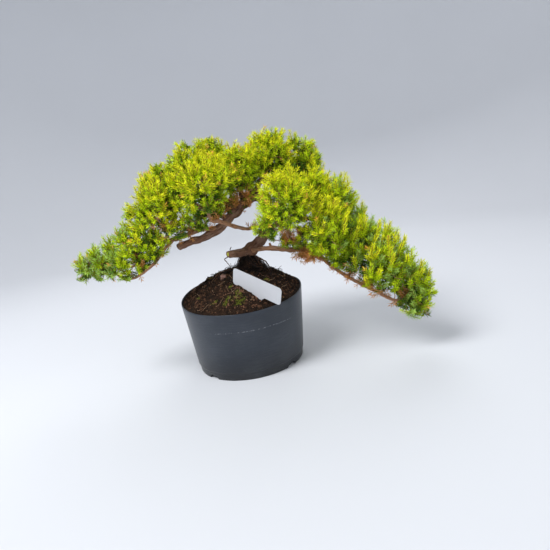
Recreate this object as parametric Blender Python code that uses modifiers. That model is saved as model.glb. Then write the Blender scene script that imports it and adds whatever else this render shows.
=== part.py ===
"""Juniper bonsai in a cut-down nursery pot.

A trailing juniper grown as an arching bonsai: a short leaning trunk on a raised foot of
roots, a bare arching bough to the left, a long low bough that sweeps down to the right,
and pads of upright needle shoots.  It stands in a tapered plastic pot whose rim is cut
on a slant, filled with a mound of potting soil, with a white plant label pushed in.

Sizes below are in millimetres and the meshes are in metres.  The origin is the centre of
the pot's underside, Z is up, -Y is the front and +X is to the right seen from the front.
"""

import math
import random

import bmesh
import bpy
import numpy as np
from mathutils import Matrix, Vector
from mathutils.bvhtree import BVHTree

MM = 0.001
GAP = 0.3
SADDLE_GAP = 0.36

# Pot: a tapered cup cut off on a slant, higher at the back
POT_SEGMENTS = 36
POT_BASE_RADIUS = 68.5
POT_RIM_RADIUS = 77.5
POT_RIM_HEIGHT = 92.0
POT_RIM_SLANT = 8.0
POT_WALL = 1.4
POT_FLOOR = 2.0
FOOT_HEIGHT = 9.0
FOOT_STEP = 1.0
DRAIN_NOTCHES = 4
FIRST_NOTCH_ANGLE = math.radians(-132)
DRAIN_WIDTH = 13.0
DRAIN_HEIGHT = 4.5

# Soil: a mound a little below the rim, with a flat seat for the foot of the trunk
SOIL_RINGS = 4
SOIL_DROP = 3.0
MOUND_PEAK = 121.0
MOUND_CENTRE = (8.0, 6.0)
MOUND_POWER = 1.8
LUMP_HEIGHT = 1.6
SEAT_CENTRE = (16.0, 2.0)
SEAT_RADIUS = 24.0
SEAT_HEIGHT = 114.5

# Plant label: a wide head on a pointed stem, leaning over the front of the rim
LABEL_WIDTH = 70.0
LABEL_HEIGHT = 21.5
LABEL_THICKNESS = 0.8
LABEL_CORNER = 4.0
LABEL_STEM_LENGTH = 40.0
LABEL_STEM_HALF_WIDTHS = ((0.0, 13.0), (3.0, 9.5), (8.0, 7.5), (30.0, 6.0))
LABEL_FOOT = (20.7, -57.2, 99.0)
LABEL_ALONG = (0.739, -0.584, -0.339)
LABEL_UP = (0.205, -0.31, 0.928)

# Root crown: fluted roots that raise the trunk above the soil, as (height, radius) rings
ROOT_COUNT = 9
CROWN_SEGMENTS = 27
CROWN_PROFILE = ((136.5, 9.0), (132.5, 15.0), (124.0, 17.5), (SEAT_HEIGHT + GAP, 20.0))
FLUTE_DEPTH = 1.6

# Limbs: name, the limb it leaves, and its knots (x, y, z, radius).  A limb that carries
# a mass of foliage runs on from its last knot to the heart of that mass.
LIMBS = (
    ("trunk", None,
     ((16, 2, 120, 9), (17, 1, 131, 9), (19, 0, 141, 8.6), (29, 0, 148, 7.4),
      (39, 1, 158, 7.1), (46, 4, 174, 6.9), (48, 6, 188, 6.8), (45, 7, 198, 6.7))),
    ("stub", "trunk", ((19, 0, 141, 6.6), (8, -10, 142, 5.4), (-3, -20, 143.5, 4.8), (-6, -22, 144, 3.0))),
    ("arch_bough", "trunk",
     ((40, 8, 206, 6.6), (28, 7, 205, 6.6), (13, 1, 195, 6.3), (-14, -4, 175, 4.9),
      (-33, -6, 167, 4.1), (-50, -8, 164, 3.5), (-66, -10, 160, 3.0))),
    ("low_bough", "trunk",
     ((20, -2, 141, 3.4), (31, -12, 143, 2.6), (46, -17, 143, 2.5), (66, -24, 139, 2.5),
      (87, -30, 137, 2.5), (106, -34, 123, 2.4))),
    ("bough_right_tip", "low_bough",
     ((118, -37, 110, 2.1), (139, -42, 93, 2.0), (160, -46, 79, 1.8),
      (184, -50, 65, 1.6))),
    ("bough_front_right", "low_bough", ((84, -29, 137, 2.3), (75, -36, 149, 2.2), (67, -44, 160, 2.0))),
    ("bough_right_mid", "low_bough", ((95, -32, 133, 2.3), (99, -40, 139, 2.1))),
    ("bough_right_low", "bough_right_tip", ((131, -40, 99, 2.0), (140, -36, 112, 1.9))),
    ("bough_right_outer", "bough_right_tip", ((150, -44, 86, 1.8), (156, -47, 93, 1.7))),
    ("bough_thin", "trunk",
     ((43, 2, 164, 2.8), (41, -8, 167, 2.2), (32, -18, 172, 1.9), (22, -25, 171, 1.9), (9, -32, 176, 2.3),
      (-7, -38, 185, 2.4), (-18, -42, 192, 2.2))),
    ("bough_left", "arch_bough",
     ((-14, -4, 175, 3.1), (-30, -11, 177, 2.9), (-45, -16, 176, 2.8), (-58, -20, 172, 2.6),
      (-76, -24, 171, 2.3))),
    ("bough_left_tip", "bough_left",
     ((-68, -22, 171, 2.1), (-80, -34, 161, 2.0), (-91, -41, 149, 1.9), (-104, -43, 141, 1.7),
      (-119, -39, 135, 1.6), (-134, -33, 136, 1.4))),
    ("bough_left_mid", "bough_left", ((-45, -16, 176, 2.4), (-56, -23, 187, 2.2))),
    ("bough_left_upper", "arch_bough", ((13, 1, 195, 3.4), (-2, 2, 206, 3.0), (-18, 0, 220, 2.6))),
    ("bough_left_knob", "bough_left_upper", ((-6, 2, 209, 2.3), (-6, 14, 228, 2.1), (-10, 23, 243, 1.8))),
    ("bough_back_left", "arch_bough", ((-2, -1, 185, 3.3), (-25, 18, 197, 2.8), (-50, 36, 210, 2.4))),
    ("bough_top_left", "arch_bough", ((21, 5, 201, 3.4), (19, 0, 216, 3.0))),
    ("bough_top", "arch_bough", ((34, 8, 206, 4.2), (42, 11, 221, 3.7), (52, 12, 233, 3.0))),
    ("bough_top_knob", "bough_top", ((43, 11, 222, 2.8), (62, 14, 226, 2.6), (82, 14, 229, 2.3))),
    ("bough_back_top", "trunk", ((48, 6, 183, 4.2), (45, 22, 197, 3.4), (31, 42, 218, 2.8))),
    ("bough_back_mid", "trunk", ((46, 4, 172, 4.0), (60, 24, 184, 3.4), (78, 42, 200, 2.8))),
    ("bough_shoulder", "trunk", ((42, 3, 163, 4.0), (62, 4, 170, 3.5), (90, 0, 177, 2.9))),
    ("bough_back_right", "bough_shoulder", ((74, 3, 173, 2.8), (92, 18, 170, 2.6), (118, 30, 164, 2.2))),
)

CARRYING_ON = ("arch_bough", "bough_right_tip")
LIMB_DETAIL = {"trunk": 2, "arch_bough": 2, "stub": 2}
LIMB_SPACING = 11.0
LEAST_STEP = 3.5
HEART_THINNING = 0.6
STEM_THINNING = 0.85

# Masses: name, the limb that carries it, heart, half sizes along, deep and high, tilt
MASSES = (
    ("left_tip", "bough_left_tip", (-159, -25, 159), (41, 24, 24), 17),
    ("left_low", "bough_left", (-106, -32, 170), (40, 28, 30), 27),
    ("left_mid", "bough_left_mid", (-77, -28, 214), (39, 30, 32), 42),
    ("left_upper", "bough_left_upper", (-37, -5, 251), (36, 30, 30), 22),
    ("left_knob", "bough_left_knob", (-15, 30, 269), (23, 23, 23), 0),
    ("inner_left", "bough_thin", (-18, -45, 226), (38, 26, 31), 32),
    ("top_left", "bough_top_left", (23, -8, 245), (31, 31, 31), 0),
    ("top", "bough_top", (61, 10, 257), (37, 34, 29), 0),
    ("top_knob", "bough_top_knob", (104, 12, 244), (20, 22, 30), 0),
    ("front_right", "bough_front_right", (68, -60, 200), (35, 31, 36), 0),
    ("right_shoulder", "bough_shoulder", (126, -15, 196), (31, 30, 29), 0),
    ("right_mid", "bough_right_mid", (109, -55, 162), (31, 27, 31), 0),
    ("right_low", "bough_right_low", (151, -32, 142), (33, 29, 33), 0),
    ("right_outer", "bough_right_outer", (175, -50, 117), (35, 30, 39), -38),
    ("right_tip", "bough_right_tip", (207, -45, 77), (28, 28, 36), 0),
    ("back_left", "bough_back_left", (-85, 55, 231), (40, 32, 35), 32),
    ("back_top", "bough_back_top", (12, 65, 244), (41, 36, 35), 0),
    ("back_mid", "bough_back_mid", (97, 60, 218), (41, 34, 35), 0),
    ("back_right", "bough_back_right", (149, 40, 160), (35, 30, 35), 0),
)

# How a mass grows from its stem; the shares are of the way from its heart to its boundary
SEED = 11
ENTRY_SHARE = 0.84
CORE_SHARE = 0.76
CORE_WALL_SHARE = 0.95
CORE_CLEARANCE = 1.2
CORE_DRAW_IN = 0.88
SHOOTS = 12
SHOOTS_TO_A_TWIG = 3
TWIG_SHARE = 0.88
TWIG_RADIUS = 0.9
TWIG_SPRAYS = ((0.72, math.radians(12)), (0.60, math.radians(42)))
CORE_SPRAY_SHARE = 0.56
SPRAY_SPREAD = math.radians(46)
SPRAY_SHARE = 0.98
SPRAY_LENGTHS = (9.0, 27.0)
SPRAY_SINK = 3.0
SPRAY_TRIES = 8
SPRAY_HALF_OUTLINE = ((0.05, 0.0), (0.34, 0.38), (0.15, 0.50), (0.25, 0.74))
SPRAY_RIDGE = (0.45, 0.08)
UPWARD_PULL = 0.25
CELL_MARGIN = 0.2
LIMB_CLEARANCE = 0.6
WELD_DISTANCE = 0.000003


def clear_scene():
    """Removes whatever the scene holds."""
    for item in list(bpy.data.objects):
        bpy.data.objects.remove(item, do_unlink=True)


def new_collection(name):
    """A collection in the scene."""
    collection = bpy.data.collections.new(name)
    bpy.context.scene.collection.children.link(collection)
    return collection


def new_material(name, colour, roughness, metallic=0.0):
    """A plain Principled BSDF of one colour."""
    material = bpy.data.materials.new(name)
    material.use_nodes = True
    shader = material.node_tree.nodes["Principled BSDF"]
    shader.inputs["Base Color"].default_value = (*colour, 1.0)
    shader.inputs["Roughness"].default_value = roughness
    shader.inputs["Metallic"].default_value = metallic
    return material


def add_object(name, data, collection):
    """An object for the mesh or curve, in the collection."""
    item = bpy.data.objects.new(name, data)
    collection.objects.link(item)
    return item


def mesh_from(bm, name):
    """Writes the bmesh to a new mesh, in metres."""
    bmesh.ops.scale(bm, vec=(MM, MM, MM), verts=bm.verts)
    mesh = bpy.data.meshes.new(name)
    bm.to_mesh(mesh)
    bm.free()
    return mesh


def as_cutter(item):
    """Marks an object as a tool that is left out of the part."""
    item.hide_render = True
    item.display_type = "WIRE"
    return item


def add_cut(item, cutter, name):
    """Takes the cutter's shape away from the object."""
    cut = item.modifiers.new(name, "BOOLEAN")
    cut.operation = "DIFFERENCE"
    cut.object = cutter
    return cut


def evaluated_mesh(item):
    """The object's mesh with its modifiers, as a new mesh."""
    bpy.context.view_layer.update()
    return bpy.data.meshes.new_from_object(item.evaluated_get(bpy.context.evaluated_depsgraph_get()))


# Pot, soil and label

def wall_radius(height):
    """Outer radius of the pot's tapered wall at a height."""
    return POT_BASE_RADIUS + (POT_RIM_RADIUS - POT_BASE_RADIUS) * height / POT_RIM_HEIGHT


def build_pot(part, cutters, material):
    """A turned cup with a recessed foot, its rim cut on a slant and notches at its foot."""
    top = POT_RIM_HEIGHT + 2.0 * POT_RIM_SLANT
    profile = (
        (0.0, POT_FLOOR),
        (wall_radius(POT_FLOOR) - FOOT_STEP - POT_WALL, POT_FLOOR),
        (wall_radius(FOOT_HEIGHT) - FOOT_STEP - POT_WALL, FOOT_HEIGHT),
        (wall_radius(top) - POT_WALL, top),
        (wall_radius(top), top),
        (wall_radius(FOOT_HEIGHT + FOOT_STEP), FOOT_HEIGHT + FOOT_STEP),
        (wall_radius(FOOT_HEIGHT) - FOOT_STEP, FOOT_HEIGHT),
        (wall_radius(0.0) - FOOT_STEP, 0.0),
        (0.0, 0.0),
    )
    mesh = bpy.data.meshes.new("pot")
    edges = [(index, index + 1) for index in range(len(profile) - 1)]
    mesh.from_pydata([(x * MM, 0.0, z * MM) for x, z in profile], edges, [])
    pot = add_object("pot", mesh, part)
    screw = pot.modifiers.new("turn", "SCREW")
    screw.steps = POT_SEGMENTS
    screw.render_steps = POT_SEGMENTS
    screw.use_merge_vertices = True
    screw.merge_threshold = 0.0001

    slant = math.atan2(POT_RIM_SLANT, POT_RIM_RADIUS)
    bm = bmesh.new()
    bmesh.ops.create_cube(bm, size=1.0)
    bmesh.ops.scale(bm, vec=(260.0, 260.0, 80.0), verts=bm.verts)
    bmesh.ops.translate(bm, vec=(0.0, 0.0, 40.0), verts=bm.verts)
    bmesh.ops.rotate(bm, matrix=Matrix.Rotation(slant, 3, "X"), verts=bm.verts)
    bmesh.ops.translate(bm, vec=(0.0, 0.0, POT_RIM_HEIGHT), verts=bm.verts)
    rim_cutter = as_cutter(add_object("rim_cutter", mesh_from(bm, "rim_cutter"), cutters))
    add_cut(pot, rim_cutter, "slanted rim")

    bm = bmesh.new()
    for index in range(DRAIN_NOTCHES):
        turn = Matrix.Rotation(FIRST_NOTCH_ANGLE + 2.0 * math.pi * index / DRAIN_NOTCHES, 4, "Z")
        place = Matrix.Translation((POT_BASE_RADIUS, 0.0, 0.0))
        size = Matrix.Diagonal((16.0, DRAIN_WIDTH, 2.0 * DRAIN_HEIGHT, 1.0))
        bmesh.ops.create_cube(bm, size=1.0, matrix=turn @ place @ size)
    notch_cutter = as_cutter(add_object("notch_cutter", mesh_from(bm, "notch_cutter"), cutters))
    add_cut(pot, notch_cutter, "drain notches")
    pot.data.materials.append(material)
    return pot


def soil_edge(y):
    """Height of the soil where it meets the wall, which follows the slanted rim."""
    return POT_RIM_HEIGHT - SOIL_DROP + POT_RIM_SLANT * y / POT_RIM_RADIUS


def soil_height(x, y):
    """Height of the mound, with shallow lumps."""
    share = math.hypot(x, y) / POT_RIM_RADIUS
    from_peak = math.hypot(
        x - MOUND_CENTRE[0] * (1.0 - share), y - MOUND_CENTRE[1] * (1.0 - share)
    ) / POT_RIM_RADIUS
    edge = soil_edge(y)
    rise = max(0.0, 1.0 - from_peak ** MOUND_POWER)
    lumps = math.sin(0.21 * x + 0.8) * math.sin(0.17 * y + 2.0) + 0.6 * math.sin(0.33 * x - 0.29 * y)
    return edge + (MOUND_PEAK - edge) * rise + LUMP_HEIGHT * lumps * min(1.0, 3.0 * (1.0 - share))


def build_soil(part, cutters, label_shape, material):
    """The fill of the pot, cut flat under the trunk and slotted for the label."""
    floor = POT_FLOOR + GAP
    top_radius = wall_radius(POT_RIM_HEIGHT) - POT_WALL - GAP
    bm = bmesh.new()
    bmesh.ops.create_cone(
        bm, cap_ends=True, segments=POT_SEGMENTS, radius1=top_radius, radius2=top_radius, depth=2.0
    )
    bm.faces.ensure_lookup_table()
    lid = max(bm.faces, key=lambda face: face.calc_center_median().z)
    ring_width = top_radius / SOIL_RINGS
    for _ in range(SOIL_RINGS - 1):
        bmesh.ops.inset_individual(bm, faces=[lid], thickness=ring_width)
    bmesh.ops.poke(bm, faces=[lid])
    for vert in bm.verts:
        share = vert.co.xy.length / top_radius
        angle = math.atan2(vert.co.y, vert.co.x)
        if vert.co.z < 0.0:
            radius = wall_radius(floor) - FOOT_STEP - POT_WALL - GAP
            vert.co = (radius * math.cos(angle), radius * math.sin(angle), floor)
        else:
            rim_height = soil_edge(top_radius * math.sin(angle))
            radius = (wall_radius(rim_height) - POT_WALL - GAP) * share
            x, y = radius * math.cos(angle), radius * math.sin(angle)
            vert.co = (x, y, soil_height(x, y))
    step = bmesh.ops.bisect_plane(
        bm, geom=bm.verts[:] + bm.edges[:] + bm.faces[:],
        plane_co=(0.0, 0.0, FOOT_HEIGHT), plane_no=(0.0, 0.0, 1.0)
    )
    for vert in (item for item in step["geom_cut"] if isinstance(item, bmesh.types.BMVert)):
        radius = wall_radius(FOOT_HEIGHT) - FOOT_STEP - POT_WALL - GAP
        vert.co.xy = vert.co.xy.normalized() * radius
    soil = add_object("soil", mesh_from(bm, "soil"), part)

    bm = bmesh.new()
    place = Matrix.Translation((*SEAT_CENTRE, SEAT_HEIGHT + 20.0))
    bmesh.ops.create_cone(
        bm, cap_ends=True, segments=32, radius1=SEAT_RADIUS, radius2=SEAT_RADIUS, depth=40.0, matrix=place
    )
    seat_cutter = as_cutter(add_object("seat_cutter", mesh_from(bm, "seat_cutter"), cutters))
    add_cut(soil, seat_cutter, "seat")
    slot_cutter = as_cutter(add_object("slot_cutter", label_shape(GAP), cutters))
    slot_cutter.matrix_world = label_frame()
    slot = add_cut(soil, slot_cutter, "label slot")
    slot.solver = "MANIFOLD"
    soil.data.materials.append(material)
    return soil


def label_frame():
    """Where the label stands: its foot, with X along its head and Y up its stem."""
    along = Vector(LABEL_ALONG).normalized()
    out = along.cross(Vector(LABEL_UP)).normalized()
    up = out.cross(along)
    frame = Matrix((along, up, out)).transposed().to_4x4()
    frame.translation = Vector(LABEL_FOOT) * MM
    return frame


def label_outline(grow):
    """The label's right half outline from the stem's point round to the head's top."""
    half = [(0.0, -LABEL_STEM_LENGTH - grow)]
    for depth, half_width in reversed(LABEL_STEM_HALF_WIDTHS):
        half.append((half_width + grow, -depth - grow))
    right = 0.5 * LABEL_WIDTH
    for centre_height, first_angle in ((LABEL_CORNER, -90), (LABEL_HEIGHT - LABEL_CORNER, 0)):
        for step in range(5):
            angle = math.radians(first_angle + 22.5 * step)
            radius = LABEL_CORNER + grow
            half.append((right - LABEL_CORNER + radius * math.cos(angle),
                         centre_height + radius * math.sin(angle)))
    return half


def label_mesh(grow):
    """A flat T-shaped label, grown all round by a clearance."""
    half = label_outline(grow)
    outline = half + [(-x, y) for x, y in reversed(half[1:])]
    curve = bpy.data.curves.new("label_outline", "CURVE")
    curve.dimensions = "2D"
    curve.fill_mode = "BOTH"
    curve.extrude = (0.5 * LABEL_THICKNESS + grow) * MM
    spline = curve.splines.new("POLY")
    spline.points.add(len(outline) - 1)
    for point, (x, y) in zip(spline.points, outline):
        point.co = (x * MM, y * MM, 0.0, 1.0)
    spline.use_cyclic_u = True
    return curve_to_mesh(curve, "label")


def build_label(part, material):
    """The white label in its slot."""
    label = add_object("label", label_mesh(0.0), part)
    label.matrix_world = label_frame()
    label.data.materials.append(material)
    return label


# Limbs

def curve_to_mesh(curve, name):
    """The curve's surface as a closed mesh, its caps welded on."""
    holder = bpy.data.objects.new(name, curve)
    bpy.context.scene.collection.objects.link(holder)
    mesh = evaluated_mesh(holder)
    bpy.data.objects.remove(holder)
    bpy.data.curves.remove(curve)
    bm = bmesh.new()
    bm.from_mesh(mesh)
    bmesh.ops.remove_doubles(bm, verts=bm.verts, dist=0.00001)
    bmesh.ops.recalc_face_normals(bm, faces=bm.faces)
    bm.to_mesh(mesh)
    bm.free()
    return mesh


def tube_mesh(name, route, resolution, grow=0.0):
    """A closed tube along a route of (x, y, z, radius), with 4 sides more or less."""
    curve = bpy.data.curves.new(name, "CURVE")
    curve.dimensions = "3D"
    curve.bevel_depth = MM
    curve.bevel_resolution = resolution
    curve.use_fill_caps = True
    spline = curve.splines.new("POLY")
    spline.points.add(len(route) - 1)
    for point, (x, y, z, radius) in zip(spline.points, route):
        point.co = (x * MM, y * MM, z * MM, 1.0)
        point.radius = radius + grow
    return curve_to_mesh(curve, name)


def smooth_route(knots, spacing):
    """Points along a smooth curve through the knots, each (x, y, z, radius)."""
    knots = [Vector(knot) for knot in knots]
    ends = [2.0 * knots[0] - knots[1]] + knots + [2.0 * knots[-1] - knots[-2]]
    route = []
    for before, here, there, after in zip(ends, ends[1:], ends[2:], ends[3:]):
        count = max(1, round((there - here).length / spacing))
        for index in range(count):
            t = index / count
            bend = (2.0 * before - 5.0 * here + 4.0 * there - after) * t * t
            twist = (3.0 * here - before - 3.0 * there + after) * t * t * t
            route.append(0.5 * (2.0 * here + (there - before) * t + bend + twist))
    route.append(knots[-1])
    return route


class Cell:
    """The space of one mass: an ellipsoid, kept to its own side of its neighbours."""

    def __init__(self, heart, half_sizes, tilt):
        self.heart = Vector(heart)
        self.half_sizes = Vector(half_sizes)
        self.turn = Matrix.Rotation(-math.radians(tilt), 3, "Y")
        self.walls = []

    def reach(self, direction):
        """Distance from the heart to the ellipsoid along a direction."""
        local = self.turn.transposed() @ direction
        return 1.0 / Vector(value / size for value, size in zip(local, self.half_sizes)).length

    def part_from(self, other):
        """Adds the wall that parts this cell from another."""
        away = other.heart - self.heart
        distance = away.length
        away.normalize()
        place = 0.5 * (distance + self.reach(away) - other.reach(-away))
        self.walls.append((away, away.dot(self.heart) + place))

    def share(self, point):
        """How far out a point lies: 1 on the boundary, less inside."""
        local = self.turn.transposed() @ (point - self.heart)
        out = Vector(value / size for value, size in zip(local, self.half_sizes)).length
        for normal, level in self.walls:
            room = level - CELL_MARGIN - normal.dot(self.heart)
            out = max(out, normal.dot(point - self.heart) / room)
        return out

    def run(self, start, direction):
        """Distance from a point inside to the boundary along a direction."""
        low, high = 0.0, 2.0 * max(self.half_sizes)
        for _ in range(24):
            middle = 0.5 * (low + high)
            if self.share(start + direction * middle) < 1.0:
                low = middle
            else:
                high = middle
        return low


def build_cells():
    """One cell for each mass, parted from all the others."""
    cells = {name: Cell(heart, sizes, tilt) for name, _, heart, sizes, tilt in MASSES}
    for name, cell in cells.items():
        for other_name, other in cells.items():
            if other_name != name:
                cell.part_from(other)
    return cells


def carry_on(route, following, thinning=1.0):
    """A route that starts a gap past the end of another and runs on through more points."""
    tip, before = route[-1], route[-2]
    ahead = (tip.xyz - before.xyz).normalized()
    start = [Vector((*(tip.xyz + ahead * distance), thinning * tip.w)) for distance in (GAP, GAP + 1.5)]
    return start + [Vector((*point.xyz, thinning * point.w)) for point in following]


def entry_point(cell, outside, inside):
    """Where a straight run enters the part of a cell that its mass fills."""
    for _ in range(16):
        middle = 0.5 * (outside + inside)
        if cell.share(middle.xyz) < ENTRY_SHARE:
            inside = middle
        else:
            outside = middle
    return inside


def limb_routes(cells):
    """The route of each limb, and of the stem that runs on from a limb inside its mass."""
    carried = {limb: name for name, limb, *_ in MASSES}
    limbs, stems = {}, {}
    for name, parent, knots in LIMBS:
        if name in CARRYING_ON:
            knots = (tuple(limbs[parent][-1]), *knots)
        if name in carried:
            cell = cells[carried[name]]
            knots = (*knots, (*cell.heart, HEART_THINNING * knots[-1][3]))
        route = smooth_route(knots, LIMB_SPACING)
        if name in CARRYING_ON:
            route = carry_on(limbs[parent], route[1:])
        if name in carried:
            entry = next(i for i, point in enumerate(route) if cell.share(point.xyz) < ENTRY_SHARE)
            tip = entry_point(cell, route[entry - 1], route[entry])
            before = route[:entry]
            if len(before) > 1 and (tip - before[-1]).length < LEAST_STEP:
                before = before[:-1]
            after = route[entry:]
            if len(after) > 1 and (tip - after[0]).length < LEAST_STEP:
                after = after[1:]
            route = [*before, tip]
            stems[carried[name]] = carry_on(route, after, STEM_THINNING)
        limbs[name] = route
    return limbs, stems


def build_limbs(part, cutters, limbs, bark, cut_wood):
    """The trunk on its roots, and each bough cut to sit on the limb it leaves."""
    sleeves = {}
    for parent in sorted({parent for _, parent, _ in LIMBS if parent}):
        mesh = tube_mesh(parent + "_sleeve", limbs[parent], LIMB_DETAIL.get(parent, 1), grow=SADDLE_GAP)
        sleeves[parent] = add_object(parent + "_sleeve", mesh, cutters)
    crown_sleeve = add_object("crown_sleeve", root_crown_mesh(SADDLE_GAP), cutters)
    sleeves["trunk"] = fuse("trunk_sleeve", [sleeves["trunk"], crown_sleeve], cutters)
    for sleeve in sleeves.values():
        as_cutter(sleeve)
    for name, parent, _ in LIMBS:
        if name == "trunk":
            build_trunk(part, limbs["trunk"], bark)
            continue
        limb = add_object(name, tube_mesh(name, limbs[name], LIMB_DETAIL.get(name, 1)), part)
        if name not in CARRYING_ON:
            add_cut(limb, sleeves[parent], "saddle")
        limb.data.materials.append(cut_wood if name == "stub" else bark)
        limb.data.shade_smooth()


def build_trunk(part, route, bark):
    """The trunk on its root crown, whose underside is the flat cut at the soil."""
    trunk = fuse("trunk", [
        add_object("trunk", tube_mesh("trunk", route, LIMB_DETAIL["trunk"]), part),
        add_object("root_crown", root_crown_mesh(0.0), part),
    ], part)
    trunk.data.materials.append(bark)
    trunk.data.shade_smooth()


def root_crown_mesh(grow):
    """The roots' fluted flare: a stack of lobed rings that widens towards the soil."""
    heights = [height for height, _ in CROWN_PROFILE]
    heights[0] += grow
    top, bottom = heights[0], heights[-1]
    bm = bmesh.new()
    place = Matrix.Translation((0.0, 0.0, 0.5 * (top + bottom)))
    bmesh.ops.create_cone(
        bm, cap_ends=True, segments=CROWN_SEGMENTS, radius1=1.0, radius2=1.0, depth=top - bottom, matrix=place
    )
    for height in heights[1:-1]:
        bmesh.ops.bisect_plane(
            bm, geom=bm.verts[:] + bm.edges[:] + bm.faces[:],
            plane_co=(0.0, 0.0, height), plane_no=(0.0, 0.0, 1.0)
        )
    for vert in bm.verts:
        angle = math.atan2(vert.co.y, vert.co.x)
        depth = (top - vert.co.z) / (top - bottom)
        radius = min(CROWN_PROFILE, key=lambda ring: abs(ring[0] - vert.co.z))[1]
        flute = math.cos(ROOT_COUNT * angle) + 0.5 * math.sin(2.0 * angle + 3.0 * depth)
        radius += grow + FLUTE_DEPTH * min(1.0, 2.0 * depth) * flute
        vert.co.xy = Vector(SEAT_CENTRE) + Vector((math.cos(angle), math.sin(angle))) * radius
    return mesh_from(bm, "root_crown")


# Foliage

def fuse(name, pieces, part):
    """Joins closed pieces into one body, filling sealed hollows and dropping loose scraps."""
    body = pieces[0]
    stock = new_collection(name + "_pieces")
    for piece in pieces[1:]:
        stock.objects.link(piece)
        part.objects.unlink(piece)
    union = body.modifiers.new("union", "BOOLEAN")
    union.operation = "UNION"
    union.operand_type = "COLLECTION"
    union.collection = stock
    mesh = evaluated_mesh(body)
    for piece in [body, *stock.objects]:
        bpy.data.objects.remove(piece)
    bpy.data.collections.remove(stock)
    bm = bmesh.new()
    bm.from_mesh(mesh)
    keep_main_body(bm)
    bm.to_mesh(mesh)
    bm.free()
    mesh.name = name
    return add_object(name, mesh, part)


def keep_main_body(bm):
    """Leaves only the largest of the mesh's separate bodies."""
    bmesh.ops.remove_doubles(bm, verts=bm.verts, dist=WELD_DISTANCE)
    bmesh.ops.triangulate(bm, faces=bm.faces)
    left = set(bm.faces)
    bodies = []
    while left:
        body, front = set(), [left.pop()]
        while front:
            face = front.pop()
            body.add(face)
            for edge in face.edges:
                for neighbour in edge.link_faces:
                    if neighbour in left:
                        left.remove(neighbour)
                        front.append(neighbour)
        bodies.append(body)
    main = max(bodies, key=lambda body: sum(signed_volume(face) for face in body))
    scraps = [face for body in bodies if body is not main for face in body]
    bmesh.ops.delete(bm, geom=scraps, context="FACES")


def signed_volume(face):
    """Volume between a triangle and the origin, positive where it faces out."""
    first, second, third = (vert.co for vert in face.verts)
    return first.dot(second.cross(third)) / 6.0


class LimbSpace:
    """The room that the limbs take up, as straight round-ended stretches."""

    def __init__(self, limbs):
        pairs = [(here, there) for route in limbs.values() for here, there in zip(route, route[1:])]
        self.starts = np.array([here.xyz for here, _ in pairs])
        self.runs = np.array([there.xyz for _, there in pairs]) - self.starts
        self.radii = np.array([max(here.w, there.w) for here, there in pairs])

    def clear(self, points, clearance):
        """Whether every point keeps its distance from every limb."""
        points = np.array(points)[:, None, :] - self.starts[None, :, :]
        along = (points * self.runs).sum(axis=2) / (self.runs ** 2).sum(axis=1)
        along = np.clip(along, 0.0, 1.0)
        distance = np.linalg.norm(points - along[:, :, None] * self.runs, axis=2)
        return bool((distance - self.radii > clearance).all())


def spread_directions(count, chance):
    """Directions spread evenly over a sphere, each a little off its place."""
    golden = math.pi * (3.0 - math.sqrt(5.0))
    turn = chance.uniform(0.0, 2.0 * math.pi)
    directions = []
    for index in range(count):
        height = 1.0 - 2.0 * (index + 0.5) / count
        ring = math.sqrt(1.0 - height * height)
        angle = turn + golden * index
        direction = Vector((ring * math.cos(angle), ring * math.sin(angle), height))
        shake = Vector(chance.uniform(-0.15, 0.15) for _ in range(3))
        directions.append((direction + shake).normalized())
    return directions


def core_bmesh(cell, space, chance):
    """The dense heart of a mass: a lumpy ball that fills its cell, drawn in where a limb passes."""
    bm = bmesh.new()
    bmesh.ops.create_icosphere(bm, subdivisions=2, radius=1.0)
    for vert in bm.verts:
        direction = vert.co.normalized()
        distance = cell.reach(direction) * CORE_SHARE * chance.uniform(0.86, 1.12)
        distance = min(distance, cell.run(cell.heart, direction) * CORE_WALL_SHARE)
        vert.co = cell.heart + direction * distance
    tight = bm.faces[:]
    while tight:
        tight = [
            face for face in bm.faces
            if not has_room(sample_points([face]), cell, space, CORE_CLEARANCE)
        ]
        for vert in {vert for face in tight for vert in face.verts}:
            vert.co = cell.heart.lerp(vert.co, CORE_DRAW_IN)
    return bm


def twig_bmesh(start, end, radius):
    """A three-sided twig that thins towards its end."""
    run = end - start
    place = Matrix.Translation(0.5 * (start + end)) @ run.to_track_quat("Z", "Y").to_matrix().to_4x4()
    bm = bmesh.new()
    bmesh.ops.create_cone(
        bm, cap_ends=True, segments=3, radius1=radius, radius2=0.6 * radius, depth=run.length, matrix=place
    )
    return bm


def spray_bmesh(root, direction, length, roll):
    """A toothed blade of needles: an outline drawn round a ridge that is raised on both sides."""
    half = [(x * length, y * length) for x, y in SPRAY_HALF_OUTLINE]
    outline = half + [(0.0, length)] + [(-x, y) for x, y in reversed(half)]
    frame = direction.to_track_quat("Y", "Z").to_matrix() @ Matrix.Rotation(roll, 3, "Y")
    bm = bmesh.new()
    ring = [bm.verts.new(root + frame @ Vector((x, y, 0.0))) for x, y in outline]
    ridge_place, ridge_height = SPRAY_RIDGE
    for side in (1.0, -1.0):
        ridge = bm.verts.new(root + frame @ Vector((0.0, ridge_place * length, side * ridge_height * length)))
        for here, there in zip(ring, ring[1:] + ring[:1]):
            bm.faces.new((here, there, ridge) if side > 0.0 else (there, here, ridge))
    return bm


def sample_points(faces):
    """The faces' corners, the middles of their edges, and their centres."""
    points = [vert.co.copy() for face in faces for vert in face.verts]
    points += [0.5 * (edge.verts[0].co + edge.verts[1].co) for face in faces for edge in face.edges]
    return points + [face.calc_center_median() for face in faces]


def has_room(points, cell, space, clearance=LIMB_CLEARANCE):
    """Whether points lie in the cell and clear of the limbs."""
    return all(cell.share(point) < 1.0 for point in points) and space.clear(points, clearance)


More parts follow.
